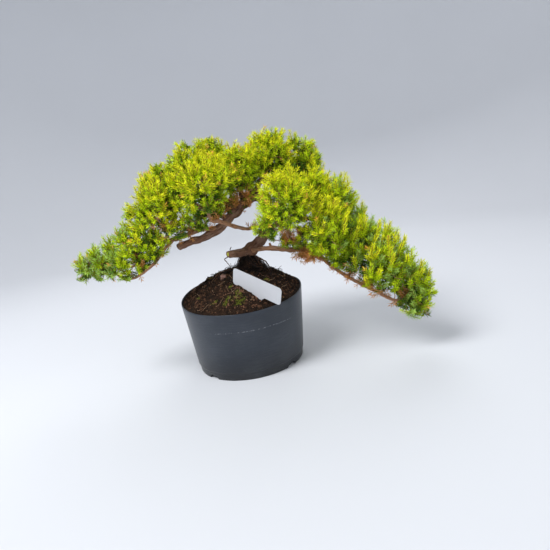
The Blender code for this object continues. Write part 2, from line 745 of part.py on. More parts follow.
def grow_spray(place, direction, spread, cell, space, sprays, chance):
    """A spray rooted at a place, turned until it fits and crosses no other."""
    side = direction.orthogonal().normalized()
    for _ in range(SPRAY_TRIES):
        around = Matrix.Rotation(chance.uniform(0.0, 2.0 * math.pi), 3, direction)
        lean = around @ side * math.tan(spread) + Vector((0.0, 0.0, UPWARD_PULL))
        heading = (direction + lean).normalized()
        root = place - heading * SPRAY_SINK
        length = min(cell.run(root, heading) * SPRAY_SHARE, chance.uniform(0.8, 1.0) * SPRAY_LENGTHS[1])
        if length < SPRAY_LENGTHS[0]:
            continue
        spray = spray_bmesh(root, heading, length, chance.uniform(0.0, math.pi))
        tree = BVHTree.FromBMesh(spray)
        apart = not any(tree.overlap(other) for other in sprays)
        if apart and has_room(sample_points(spray.faces), cell, space):
            return spray
        spray.free()
    return None


def build_mass(name, cell, stem, space, seed, part, material):
    """A mass of foliage grown from one stem: a small core, twigs, and sprays of needles on both."""
    chance = random.Random(seed)
    pieces = [add_object(name, tube_mesh(name, stem, 0), part)]
    pieces.append(add_object("core", mesh_from(core_bmesh(cell, space, chance), "core"), part))
    sprays = []
    for index, direction in enumerate(spread_directions(SHOOTS, chance)):
        run = cell.run(cell.heart, direction)
        places = [(CORE_SPRAY_SHARE, SPRAY_SPREAD / 3.0)]
        if index % SHOOTS_TO_A_TWIG == 0:
            twig = twig_bmesh(cell.heart + direction, cell.heart + direction * run * TWIG_SHARE, TWIG_RADIUS)
            if has_room(sample_points(twig.faces), cell, space):
                pieces.append(add_object("twig", mesh_from(twig, "twig"), part))
                places = TWIG_SPRAYS
            else:
                twig.free()
        for share, spread in places:
            place = cell.heart + direction * run * share
            spray = grow_spray(place, direction, spread, cell, space, sprays, chance)
            if spray:
                sprays.append(BVHTree.FromBMesh(spray))
                pieces.append(add_object("spray", mesh_from(spray, "spray"), part))
    mass = fuse("foliage_" + name, pieces, part)
    mass.data.materials.append(material)
    return mass


def main():
    clear_scene()
    part = new_collection("juniper_bonsai")
    cutters = new_collection("cutters")
    plastic = new_material("pot_plastic", (0.045, 0.055, 0.068), 0.42)
    earth = new_material("potting_soil", (0.045, 0.024, 0.014), 0.95)
    white = new_material("label_plastic", (0.80, 0.81, 0.84), 0.35)
    bark = new_material("bark", (0.13, 0.065, 0.038), 0.85)
    cut_wood = new_material("cut_stub", (0.16, 0.085, 0.05), 0.8)
    needles = new_material("needles", (0.22, 0.42, 0.03), 0.55)

    build_pot(part, cutters, plastic)
    build_soil(part, cutters, label_mesh, earth)
    build_label(part, white)
    cells = build_cells()
    limbs, stems = limb_routes(cells)
    build_limbs(part, cutters, limbs, bark, cut_wood)
    space = LimbSpace(limbs)
    for index, (name, *_) in enumerate(MASSES):
        build_mass(name, cells[name], stems[name], space, SEED + index, part, needles)


main()
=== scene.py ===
"""Juniper bonsai in a cut-down nursery pot: the finished look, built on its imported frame.

The script is laid out as an add-on and is run as a script.  Sizes are in millimetres unless
a property says otherwise, and meshes are made in metres.  The pot stands on the floor at
height zero, -Y is the front, +X is to the right seen from the front and +Z is up.
"""

import math
import random
from itertools import product

import bmesh
import bpy
import numpy as np
from mathutils import Matrix, Vector, noise


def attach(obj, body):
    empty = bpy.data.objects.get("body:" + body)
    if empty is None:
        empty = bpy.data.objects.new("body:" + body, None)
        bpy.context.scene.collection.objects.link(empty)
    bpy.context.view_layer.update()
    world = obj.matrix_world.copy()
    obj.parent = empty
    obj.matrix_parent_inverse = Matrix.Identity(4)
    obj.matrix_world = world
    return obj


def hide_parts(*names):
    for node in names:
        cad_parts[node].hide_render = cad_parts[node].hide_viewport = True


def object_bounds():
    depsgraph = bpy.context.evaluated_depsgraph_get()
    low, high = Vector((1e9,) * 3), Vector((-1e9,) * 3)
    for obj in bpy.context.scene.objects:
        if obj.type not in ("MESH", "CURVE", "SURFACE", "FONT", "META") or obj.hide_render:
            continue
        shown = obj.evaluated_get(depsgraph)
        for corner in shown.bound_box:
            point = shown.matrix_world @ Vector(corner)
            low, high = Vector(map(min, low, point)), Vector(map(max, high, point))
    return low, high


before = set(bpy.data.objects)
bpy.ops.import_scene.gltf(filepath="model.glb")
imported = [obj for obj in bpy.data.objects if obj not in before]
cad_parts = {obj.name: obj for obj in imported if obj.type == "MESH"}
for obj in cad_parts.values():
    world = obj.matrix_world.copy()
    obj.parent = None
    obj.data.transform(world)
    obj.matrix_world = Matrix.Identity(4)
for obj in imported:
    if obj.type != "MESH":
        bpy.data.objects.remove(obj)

CAD_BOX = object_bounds()

bl_info = {
    "name": "Juniper Bonsai",
    "version": (1, 0, 0),
    "blender": (4, 5, 0),
    "location": "View3D > Sidebar > Bonsai",
    "description": "Builds a trailing juniper bonsai in its nursery pot",
    "category": "Add Mesh",
}

MM = 0.001
UP = Vector((0.0, 0.0, 1.0))

# Pot, as in the frame
BASE_RADIUS = 68.5
RIM_RADIUS = 77.5
RIM_HEIGHT = 92.0
RIM_SLANT = 8.0

# Limbs: name, the limb it leaves, and its knots (x, y, z, radius)
LIMBS = (
    ("trunk", None,
     ((16, 2, 120, 9), (17, 1, 131, 9), (19, 0, 141, 8.6), (29, 0, 148, 7.4),
      (39, 1, 158, 7.1), (46, 4, 174, 6.9), (48, 6, 188, 6.8), (45, 7, 198, 6.7))),
    ("stub", "trunk",
     ((19, 0, 141, 6.6), (8, -10, 142, 5.4), (-3, -20, 143.5, 4.8), (-6, -22, 144, 3.0))),
    ("arch_bough", "trunk",
     ((40, 8, 206, 6.6), (28, 7, 205, 6.6), (13, 1, 195, 6.3), (-14, -4, 175, 4.9),
      (-33, -6, 167, 4.1), (-50, -8, 164, 3.5), (-66, -10, 160, 3.0))),
    ("low_bough", "trunk",
     ((20, -2, 141, 3.4), (31, -12, 143, 2.6), (46, -17, 143, 2.5), (66, -24, 139, 2.5),
      (87, -30, 137, 2.5), (106, -34, 123, 2.4))),
    ("bough_right_tip", "low_bough",
     ((118, -37, 110, 2.1), (139, -42, 93, 2.0), (160, -46, 79, 1.8), (184, -50, 65, 1.6))),
    ("bough_front_right", "low_bough", ((84, -29, 137, 2.3), (75, -36, 149, 2.2), (67, -44, 160, 2.0))),
    ("bough_right_mid", "low_bough", ((95, -32, 133, 2.3), (99, -40, 139, 2.1))),
    ("bough_right_low", "bough_right_tip", ((131, -40, 99, 2.0), (140, -36, 112, 1.9))),
    ("bough_right_outer", "bough_right_tip", ((150, -44, 86, 1.8), (156, -47, 93, 1.7))),
    ("bough_thin", "trunk",
     ((43, 2, 164, 2.8), (41, -8, 167, 2.2), (32, -18, 172, 1.9), (22, -25, 171, 1.9),
      (9, -32, 176, 2.3), (-7, -38, 185, 2.4), (-18, -42, 192, 2.2))),
    ("bough_left", "arch_bough",
     ((-14, -4, 175, 3.1), (-30, -11, 177, 2.9), (-45, -16, 176, 2.8), (-58, -20, 172, 2.6),
      (-76, -24, 171, 2.3))),
    ("bough_left_tip", "bough_left",
     ((-68, -22, 171, 2.1), (-80, -34, 161, 2.0), (-91, -41, 149, 1.9), (-104, -43, 141, 1.7),
      (-119, -39, 135, 1.6), (-134, -33, 136, 1.4))),
    ("bough_left_mid", "bough_left", ((-45, -16, 176, 2.4), (-56, -23, 187, 2.2))),
    ("bough_left_upper", "arch_bough", ((13, 1, 195, 3.4), (-2, 2, 206, 3.0), (-18, 0, 220, 2.6))),
    ("bough_left_knob", "bough_left_upper", ((-6, 2, 209, 2.3), (-6, 14, 228, 2.1), (-10, 23, 243, 1.8))),
    ("bough_back_left", "arch_bough", ((-2, -1, 185, 3.3), (-25, 18, 197, 2.8), (-50, 36, 210, 2.4))),
    ("bough_top_left", "arch_bough", ((21, 5, 201, 3.4), (19, 0, 216, 3.0))),
    ("bough_top", "arch_bough", ((34, 8, 206, 4.2), (42, 11, 221, 3.7), (52, 12, 233, 3.0))),
    ("bough_top_knob", "bough_top", ((43, 11, 222, 2.8), (62, 14, 226, 2.6), (82, 14, 229, 2.3))),
    ("bough_back_top", "trunk", ((48, 6, 183, 4.2), (45, 22, 197, 3.4), (31, 42, 218, 2.8))),
    ("bough_back_mid", "trunk", ((46, 4, 172, 4.0), (60, 24, 184, 3.4), (78, 42, 200, 2.8))),
    ("bough_shoulder", "trunk", ((42, 3, 163, 4.0), (62, 4, 170, 3.5), (90, 0, 177, 2.9))),
    ("bough_back_right", "bough_shoulder", ((74, 3, 173, 2.8), (92, 18, 170, 2.6), (118, 30, 164, 2.2))),
)
CARRYING_ON = ("arch_bough", "bough_right_tip")
ROUNDED_END = ((0.94, 0.5), (0.8, 1.1), (0.55, 1.7), (0.18, 2.1))

# Masses: name, limb, heart, half sizes along, deep and high, tilt, and how yellow they are
MASSES = (
    ("left_tip", "bough_left_tip", (-159, -25, 159), (41, 24, 24), 17, 0.15),
    ("left_low", "bough_left", (-106, -32, 170), (40, 28, 30), 27, 0.2),
    ("left_mid", "bough_left_mid", (-77, -28, 214), (39, 30, 32), 42, 0.45),
    ("left_upper", "bough_left_upper", (-37, -5, 251), (36, 30, 30), 22, 0.4),
    ("left_knob", "bough_left_knob", (-15, 30, 269), (23, 23, 23), 0, 0.3),
    ("inner_left", "bough_thin", (-18, -45, 226), (38, 26, 31), 32, 0.5),
    ("top_left", "bough_top_left", (23, -8, 245), (31, 31, 31), 0, 0.5),
    ("top", "bough_top", (61, 10, 257), (37, 34, 29), 0, 0.5),
    ("top_knob", "bough_top_knob", (104, 12, 244), (20, 22, 30), 0, 0.3),
    ("front_right", "bough_front_right", (68, -60, 200), (35, 31, 36), 0, 0.5),
    ("right_shoulder", "bough_shoulder", (126, -15, 196), (31, 30, 29), 0, 0.45),
    ("right_mid", "bough_right_mid", (109, -55, 162), (31, 27, 31), 0, 0.4),
    ("right_low", "bough_right_low", (151, -32, 142), (33, 29, 33), 0, 0.4),
    ("right_outer", "bough_right_outer", (175, -50, 117), (35, 30, 39), -38, 0.45),
    ("right_tip", "bough_right_tip", (207, -45, 77), (28, 28, 36), 0, 0.25),
    ("back_left", "bough_back_left", (-85, 55, 231), (40, 32, 35), 32, 0.35),
    ("back_top", "bough_back_top", (12, 65, 244), (41, 36, 35), 0, 0.4),
    ("back_mid", "bough_back_mid", (97, 60, 218), (41, 34, 35), 0, 0.4),
    ("back_right", "bough_back_right", (149, 40, 160), (35, 30, 35), 0, 0.3),
)
# Pads that fill out the chains of masses: half heart place, half sizes, how yellow they are
PADS = (
    ((-156, -32, 159), (20, 16, 15), 0.1), ((-129, -38, 156), (21, 18, 19), 0.1),
    ((-119, -30, 181), (20, 18, 20), 0.3), ((-92, -36, 176), (20, 19, 23), 0.2),
    ((-87, -30, 207), (21, 18, 20), 0.4), ((-64, -32, 192), (20, 18, 21), 0.3),
    ((-51, -30, 227), (23, 21, 23), 0.4), ((-86, -10, 239), (18, 17, 19), 0.4),
    ((-34, -38, 198), (18, 15, 16), 0.2), ((-8, -28, 237), (23, 20, 21), 0.5),
    ((-47, 0, 262), (19, 17, 18), 0.4), ((14, -15, 246), (19, 19, 23), 0.5),
    ((20, -20, 226), (16, 14, 14), 0.5), ((58, -5, 256), (21, 19, 21), 0.5),
    ((76, 0, 238), (19, 19, 22), 0.3), ((46, -55, 178), (17, 14, 16), 0.3),
    ((69, -52, 204), (24, 23, 27), 0.5), ((86, -48, 181), (16, 15, 18), 0.5),
    ((87, -45, 160), (15, 13, 14), 0.3), ((104, -30, 209), (21, 20, 23), 0.5),
    ((134, -15, 200), (19, 17, 19), 0.4), ((112, -48, 177), (23, 20, 23), 0.5),
    ((113, -46, 145), (18, 17, 18), 0.3), ((142, -36, 153), (21, 18, 19), 0.4),
    ((137, -44, 124), (21, 19, 21), 0.2), ((159, -40, 144), (19, 18, 21), 0.5),
    ((163, -46, 101), (21, 20, 23), 0.2), ((180, -44, 132), (19, 20, 26), 0.5),
    ((189, -46, 102), (20, 22, 28), 0.4), ((206, -46, 85), (19, 18, 21), 0.3),
    ((217, -46, 64), (13, 12, 14), 0.2), ((-13, -28, 201), (16, 14, 14), 0.0),
    ((10, -12, 210), (16, 12, 12), -0.1), ((26, -8, 221), (12, 11, 12), 0.1),
    ((-34, -26, 188), (16, 13, 12), 0.1), ((-88, -38, 160), (15, 14, 15), 0.0),
    ((-58, -30, 180), (14, 11, 9), 0.1), ((43, -52, 172), (15, 11, 10), 0.4),
    ((79, -46, 154), (14, 11, 10), 0.3), ((99, -42, 141), (14, 11, 10), 0.3),
    ((-183, -32, 159), (11, 8, 8), 0.3), ((-16, 8, 274), (17, 14, 13), 0.4),
    ((-38, 0, 272), (12, 11, 12), 0.4), ((106, 10, 253), (9, 10, 15), 0.4),
    ((224, -46, 88), (8, 7, 7), 0.5), ((218, -48, 51), (7, 8, 9), 0.3),
    ((128, -42, 118), (14, 12, 12), 0.2), ((170, -46, 83), (14, 11, 9), 0.2),
    ((-108, -36, 152), (16, 14, 14), 0.1), ((-111, -28, 209), (12, 10, 12), 0.35),
    ((-12, 8, 277), (15, 11, 11), 0.4), ((94, 5, 265), (11, 10, 11), 0.4),
    ((116, 10, 239), (10, 9, 11), 0.3), ((226, -46, 91), (11, 8, 8), 0.5),
    ((215, -48, 45), (12, 9, 7), 0.3), ((115, -44, 127), (13, 10, 9), 0.2),
    ((136, -44, 112), (13, 10, 9), 0.2), ((-123, -40, 142), (15, 12, 10), 0.1),
    ((-159, -36, 153), (16, 13, 12), 0.1), ((24, -10, 209), (12, 12, 14), 0.0),
    ((153, -46, 96), (12, 10, 9), 0.2), ((193, -46, 62), (14, 11, 10), 0.2),
    ((66, -34, 152), (14, 11, 8), 0.3), ((79, -37, 148), (13, 10, 8), 0.3),
    ((4, 2, 199), (19, 14, 11), -0.2), ((-14, -10, 194), (17, 13, 10), -0.2),
    ((-36, -18, 186), (15, 12, 9), -0.1), ((52, -36, 160), (11, 10, 9), 0.2),
    ((66, -36, 157), (13, 11, 10), 0.2), ((-136, -39, 143), (14, 11, 8), 0.1),
    ((-186, -30, 156), (8, 7, 7), 0.2), ((-72, -15, 255), (9, 10, 9), 0.4),
    ((-41, 0, 280), (9, 9, 8), 0.4), ((210, -46, 50), (9, 8, 8), 0.2), ((-100, -38, 150), (11, 9, 8), 0.0),
    ((65, 10, 278), (11, 11, 9), 0.4), ((-133, -38, 139), (10, 9, 7), 0.1),
    ((-80, -30, 182), (12, 10, 10), 0.1), ((-64, -24, 186), (12, 10, 10), 0.0),
    ((-58, 42, 241), (23, 21, 20), 0.4), ((-22, 48, 250), (24, 20, 20), 0.4),
    ((50, 42, 248), (25, 22, 22), 0.4), ((76, 38, 236), (22, 20, 21), 0.4),
    ((121, 42, 193), (20, 20, 22), 0.35), ((126, 10, 188), (18, 20, 20), 0.4),
)
# Openings in the crown where no shoot ends: middle and half sizes
CLEARINGS = (
    ((-154, -30, 122), (31, 30, 10)), ((211, -40, 148), (16, 45, 17)), ((158, -10, 184), (9, 30, 9)),
    ((15, -5, 279), (13, 40, 9)), ((202, -40, 140), (10, 45, 14)), ((214, -42, 122), (9, 30, 9)),
    ((157, -20, 179), (12, 35, 8)), ((152, -15, 210), (5, 30, 10)), ((-111, -10, 236), (9, 30, 12)),
    ((-162, -32, 183), (10, 25, 7)), ((29, -5, 276), (12, 40, 6)), ((34, -20, 187), (6, 30, 11)),
    ((51, -30, 153), (7, 25, 6)), ((82, -40, 175), (3, 25, 5)), ((-14, -30, 218), (5, 30, 4)),
    ((-47, -28, 179), (5, 30, 7)), ((-126, -30, 213), (10, 25, 10)), ((-176, -32, 178), (10, 25, 9)),
    ((129, -10, 229), (8, 25, 7)), ((239, -46, 70), (6, 25, 14)), ((190, -46, 38), (20, 25, 8)),
    ((-49, 0, 287), (7, 25, 6)), ((209, -40, 122), (11, 30, 10)), ((201, -40, 138), (12, 30, 10)),
    ((160, -20, 176), (11, 35, 8)), ((230, -46, 51), (9, 25, 11)), ((-103, -25, 240), (8, 30, 10)),
    ((-64, -5, 281), (8, 30, 8)), ((106, 12, 272), (9, 30, 9)), ((125, 12, 262), (8, 30, 10)),
    ((-78, -38, 152), (9, 25, 6)), ((-173, -34, 139), (12, 25, 6)), ((139, -30, 206), (7, 30, 7)),
    ((98, -36, 122), (14, 25, 5)), ((-108, -25, 228), (8, 30, 9)), ((-70, -10, 266), (8, 30, 6)),
    ((-34, 0, 280), (5, 30, 8)), ((47, 10, 287), (8, 30, 5)), ((89, 12, 283), (8, 30, 5)),
    ((156, -18, 206), (7, 35, 9)), ((165, -38, 172), (8, 30, 7)), ((200, -44, 122), (9, 30, 6)),
    ((81, -40, 173), (5, 40, 7)),
)
# Hollows of the crown, painted in shade with deeper green tints: middle and half sizes
SHADED_HOLLOWS = (
    ((94, 2, 226), (24, 32, 15)), ((134, -40, 165), (7, 25, 9)), ((150, -44, 108), (16, 20, 10)),
    ((-92, -36, 178), (10, 18, 9)), ((-20, -40, 203), (14, 16, 9)),
)
# Single shoots that stand out of the crown's outline: base, tip and tint
LONE_SHOOTS = (
    ((204, -46, 62), (221, -46, 45), "lime"), ((203, -46, 60), (212, -48, 42), "green"),
    ((209, -46, 60), (219, -44, 50), "green"), ((195, -46, 118), (200, -46, 135), "yellow"),
    ((206, -46, 86), (225, -46, 92), "yellow"), ((100, 12, 246), (107, 12, 268), "lime"),
    ((-160, -30, 155), (-182, -30, 157), "lime"), ((-158, -32, 151), (-181, -32, 151), "lime"),
    ((-72, -12, 244), (-80, -12, 257), "lime"), ((160, -40, 128), (171, -44, 152), "yellow"),
)
# Places inside the crown where needles have died: middle and half sizes
WITHERED = (
    ((7, -10, 203), (32, 24, 19)), ((-77, -38, 190), (10, 14, 18)), ((67, -50, 166), (13, 14, 18)),
    ((157, -46, 95), (14, 12, 13)), ((-113, -40, 154), (16, 12, 9)), ((127, -42, 112), (16, 12, 9)),
    ((94, -38, 135), (14, 14, 9)), ((186, -46, 76), (14, 12, 7)),
)
# How long the needles are in each part of the crown
NEEDLE_SHARES = {"left": 0.96, "crown": 0.96, "shoulder": 1.04, "right": 1.16}
# Dead twigs along a limb: its name, the share of its points that bear one, and where they start
DEAD_ALONG = (
    ("low_bough", 0.5, 84.0), ("bough_right_tip", 0.75, 100.0), ("bough_front_right", 1.0, 60.0),
    ("bough_right_mid", 0.8, 90.0), ("bough_right_low", 0.7, 120.0), ("bough_right_outer", 0.7, 140.0),
    ("bough_left", 0.7, -80.0), ("bough_left_tip", 0.3, -140.0), ("bough_thin", 0.3, -20.0),
    ("bough_left_mid", 1.0, -100.0),
    ("bough_left_upper", 0.8, -20.0), ("bough_top_left", 0.6, 10.0),
)
# The tint of a shoot's lower needles
SHADED = {"yellow": "lime", "lime": "green", "bluish": "green", "green": "deep"}
REGIONS = ((-60.0, "left"), (30.0, "crown"), (110.0, "shoulder"), (1000.0, "right"))

# Growth, by the same rule as the solids.  Shares are of the way from a heart to its boundary
SEED = 11
LIMB_SPACING = 2.4
HEART_THINNING = 0.6
ENTRY_SHARE = 0.84
CELL_MARGIN = 0.2
BARE_LIMBS = ("trunk", "stub", "arch_bough", "low_bough")
BLEND = 9.0
CANDIDATES = 0.03
INNERMOST, OUTERMOST = 0.28, 1.08
SKIN_FROM = 0.66
SHADE_SPACING = 6.6
LOOSER = 1.12
TUFT_SPACING = 18.0
TUFT_ROUNDING = 0.5
TUFT_HEARTS = (0.30, 0.80)
TUFT_REACH = (0.94, 1.13)
# Where the shoots over the low bough, and those at the left end, begin to differ, and over what width
OVER_LOW_BOUGH = (85.0, 60.0)
LEFT_END = (95.0, 40.0)
BLUISH_SHARE = 0.45
HOLLOW_SHADE = 0.75
# The light below which a shoot takes each tint, so that the tints paint light and shade; above them all it is
# yellow
TINT_LIMITS = ((0.02, "deep"), (0.36, "green"), (0.80, "lime"))
BOX_MARGIN = 6.2
BASE_MARGIN = 3.0
PATCH_SCALE = 0.035
WITHERED_SHARE = 0.6
TIP_SHARE = 0.05
SHOOT_RADIUS = 0.5
BROADER = 1.35
DEAD_TWIGS = 120
SPRIG_SHOOTS = 9

# Twigs: the most places in their network, how far apart, and their radius by what they bear
MOST_PLACES = 60000
TWIG_STEP = 4.5
TWIG_COST = 0.35
TWIG_RADIUS = 0.28
TWIG_GROWTH = 0.13


def colour(name, red, green, blue, about):
    """A colour property with its default."""
    return bpy.props.FloatVectorProperty(
        name=name, description=about, default=(red, green, blue), subtype="COLOR", min=0.0, max=1.0
    )


def tinted(shade, share):
    """A colour, darker or paler by a share."""
    return [value * share for value in shade]


def rise(value, start, width):
    """0 up to a start, and from there up to 1 over a width."""
    return min(1.0, max(0.0, (value - start) / width))


def jog(chance, most):
    """A random step, no more than so much along each axis."""
    return Vector(chance.uniform(-most, most) for _ in range(3))


def size(name, default, about, unit="LENGTH"):
    """A size property in metres, or a plain number where the unit is NONE."""
    return bpy.props.FloatProperty(name=name, description=about, default=default, unit=unit, precision=5)


class PotSettings(bpy.types.PropertyGroup):
    """Sizes and colours of the pot and its label."""
    base_radius: size("Base radius", BASE_RADIUS * MM, "Outer radius at the pot's underside")
    rim_radius: size("Rim radius", RIM_RADIUS * MM, "Outer radius at the middle height of the cut rim")
    rim_height: size("Rim height", RIM_HEIGHT * MM, "Height of the cut rim on the pot's axis")
    rim_slant: size("Rim slant", RIM_SLANT * MM, "Rise of the rim from the axis to the back")
    wall: size("Wall", 1.4 * MM, "Thickness of the wall")
    plastic: colour("Plastic", 0.017, 0.023, 0.034, "Slate-grey plastic of the wall")
    dust: colour("Dust", 0.16, 0.175, 0.19, "Pale dust and scuffs on the wall")
    label: colour("Label", 0.60, 0.61, 0.64, "White plastic of the label")


class SoilSettings(bpy.types.PropertyGroup):
    """Colours of the soil, its chips, the moss and the roots."""
    dark: colour("Dark soil", 0.006, 0.004, 0.003, "Damp crumbs of soil")
    brown: colour("Brown soil", 0.047, 0.024, 0.014, "Dry crumbs of soil")
    chip: colour("Bark chip", 0.25, 0.118, 0.066, "Chips of bark and coir")
    pale_chip: colour("Pale chip", 0.38, 0.27, 0.17, "Pale bits of wood and straw")
    moss: colour("Moss", 0.13, 0.155, 0.014, "Moss on the surface")
    root: colour("Root", 0.010, 0.006, 0.005, "Old dark roots")
    young_root: colour("Young root", 0.060, 0.030, 0.018, "Reddish living roots")


class WoodSettings(bpy.types.PropertyGroup):
    """Colours and relief of the bark."""
    bark: colour("Bark", 0.205, 0.102, 0.060, "Main colour of the bark")
    flake: colour("Flake", 0.34, 0.22, 0.155, "Grey weathered flakes")
    furrow_and_shade: colour("Crack", 0.022, 0.011, 0.008, "Depth of the furrows")
    # The furrows' colour: darker bark with painted shade of their depth.
    twig: colour("Twig", 0.37, 0.185, 0.095, "Reddish skin of the thin boughs")
    cut: colour("Cut", 0.42, 0.42, 0.05, "Greenish face of the pruned stub")
    relief: size("Relief", 1.1 * MM, "Depth of the ridges on the trunk")


class FoliageSettings(bpy.types.PropertyGroup):
    """Sizes and colours of the shoots and needles."""
    needle_length: size("Needle length", 5.4 * MM, "Length of a full-grown needle")
    needle_width: size("Needle width", 0.20, "Width of a needle as a share of its length", "NONE")
    whorl_spacing: size("Whorl spacing", 1.5 * MM, "Distance between rings of three needles")
    shoot_spacing: size("Shoot spacing", 7.0, "Distance between neighbouring shoots, in millimetres", "NONE")
    # Lime, yellow, green and deep are also painted light and shade: the more light a shoot gets, the paler
    # and yellower its tint.
    lime: colour("Lime", 0.60, 0.76, 0.010, "Bright new growth")
    yellow: colour("Yellow", 0.79, 0.81, 0.014, "Sunlit yellowish growth")
    green: colour("Green", 0.37, 0.54, 0.012, "Older growth in half shade")
    deep: colour("Deep", 0.085, 0.18, 0.014, "Shaded growth inside the crown")
    bluish: colour("Bluish", 0.40, 0.60, 0.11, "Bluish growth at the ends of the boughs")
    tip: colour("Tip", 0.80, 0.34, 0.08, "Orange buds at some tips")
    dead: colour("Dead", 0.68, 0.31, 0.095, "Dead brown needles")
    stem: colour("Stem", 0.42, 0.30, 0.04, "Skin of the young shoots")


class StageSettings(bpy.types.PropertyGroup):
    """Floor, light and camera."""
    floor: colour("Floor", 0.66, 0.68, 0.72, "Pale floor")
    lens: size("Lens", 27.03, "Focal length of the camera, in millimetres", "NONE")


# Node trees

class Wire:
    """An output of a node.  Sums on it add Math nodes, so that a formula reads as one line."""

    def __init__(self, graph, socket):
        self.graph = graph
        self.socket = socket

    def also(self, output):
        """Another output of the same node."""
        return Wire(self.graph, find_socket(self.socket.node.outputs, output))

    def clamp(self):
        return self.graph.node("ShaderNodeClamp", {}, {"Value": self})

    def __add__(self, other):
        return self.graph.math("ADD", self, other)

    def __radd__(self, other):
        return self.graph.math("ADD", other, self)

    def __sub__(self, other):
        return self.graph.math("SUBTRACT", self, other)

    def __rsub__(self, other):
        return self.graph.math("SUBTRACT", other, self)

    def __mul__(self, other):
        return self.graph.math("MULTIPLY", self, other)

    def __rmul__(self, other):
        return self.graph.math("MULTIPLY", other, self)


def find_socket(sockets, key):
    """A socket by its place, or the first one in use that has the name."""
    if isinstance(key, int):
        return sockets[key]
    return next(socket for socket in sockets if socket.name == key and socket.enabled)


class Graph:
    """A node tree under construction."""

    def __init__(self, tree):
        self.tree = tree

    def node(self, kind, settings=None, inputs=None, output=0):
        """Adds a node, makes its settings, fills its inputs, and returns one of its outputs."""
        node = self.tree.nodes.new(kind)
        for name, value in (settings or {}).items():
            if name == "stops":
                set_stops(node.color_ramp, value)
            else:
                setattr(node, name, value)
        for key, value in (inputs or {}).items():
            socket = find_socket(node.inputs, key)
            if isinstance(value, Wire):
                self.tree.links.new(value.socket, socket)
            elif socket.type == "RGBA":
                socket.default_value = (*value[:3], 1.0)
            else:
                socket.default_value = value
        return Wire(self, find_socket(node.outputs, output))

    def math(self, operation, *values):
        return self.node("ShaderNodeMath", {"operation": operation}, dict(enumerate(values)))

    def vector(self, x, y, z):
        return self.node("ShaderNodeCombineXYZ", {}, {0: x, 1: y, 2: z})

    def stretched(self, vector, scale):
        return self.node("ShaderNodeVectorMath", {"operation": "MULTIPLY"}, {0: vector, 1: scale})

    def noise(self, at, scale, detail=3.0, roughness=0.55, distortion=0.0):
        """Soft noise from 0 to 1; scale is in lumps a metre."""
        return self.node("ShaderNodeTexNoise", {}, {
            "Vector": at, "Scale": scale, "Detail": detail, "Roughness": roughness, "Distortion": distortion
        })


def set_stops(ramp, stops):
    """Gives a ramp its stops, each (place, grey value or colour)."""
    while len(ramp.elements) < len(stops):
        ramp.elements.new(0.5)
    for element, (place, value) in zip(ramp.elements, stops):
        element.position = place
        shade = value if isinstance(value, (tuple, list)) else (value, value, value)
        element.color = (*shade[:3], 1.0)


class Finish(Graph):
    """A material under construction, with its shader."""

    def __init__(self, name, roughness=0.6, specular=0.5):
        self.material = bpy.data.materials.new(name)
        self.material.use_nodes = True
        super().__init__(self.material.node_tree)
        self.shader = self.tree.nodes["Principled BSDF"]
        self.shader.inputs["Roughness"].default_value = roughness
        self.shader.inputs["Specular IOR Level"].default_value = specular
        self.place = self.node("ShaderNodeTexCoord", output="Object")

    def height(self):
        """Height above the floor, in metres."""
        return self.node("ShaderNodeSeparateXYZ", {}, {0: self.place}, "Z")

    def ramp(self, value, *stops):
        return self.node("ShaderNodeValToRGB", {"stops": stops}, {0: value})

    def patches(self, scale, detail, roughness, start, full, most=1.0):
        """Patches where noise rises over a level, from none at its start to the most of it."""
        return self.ramp(self.noise(self.place, scale, detail, roughness), (start, 0.0), (full, most))

    def mix(self, share, first, second):
        """Blends two colours."""
        return self.node("ShaderNodeMix", {"data_type": "RGBA"}, {0: share, 6: first, 7: second}, 2)

    def wear(self, colour=None, roughness=None, height=None, depth=0.0005):
        """Feeds the shader its colour, its roughness and its relief."""
        for name, value in (("Base Color", colour), ("Roughness", roughness)):
            if value is not None:
                self.tree.links.new(value.socket, self.shader.inputs[name])
        if height is not None:
            bump = self.node("ShaderNodeBump", {}, {"Strength": 1.0, "Distance": depth, "Height": height})
            self.tree.links.new(bump.socket, self.shader.inputs["Normal"])
        return self.material


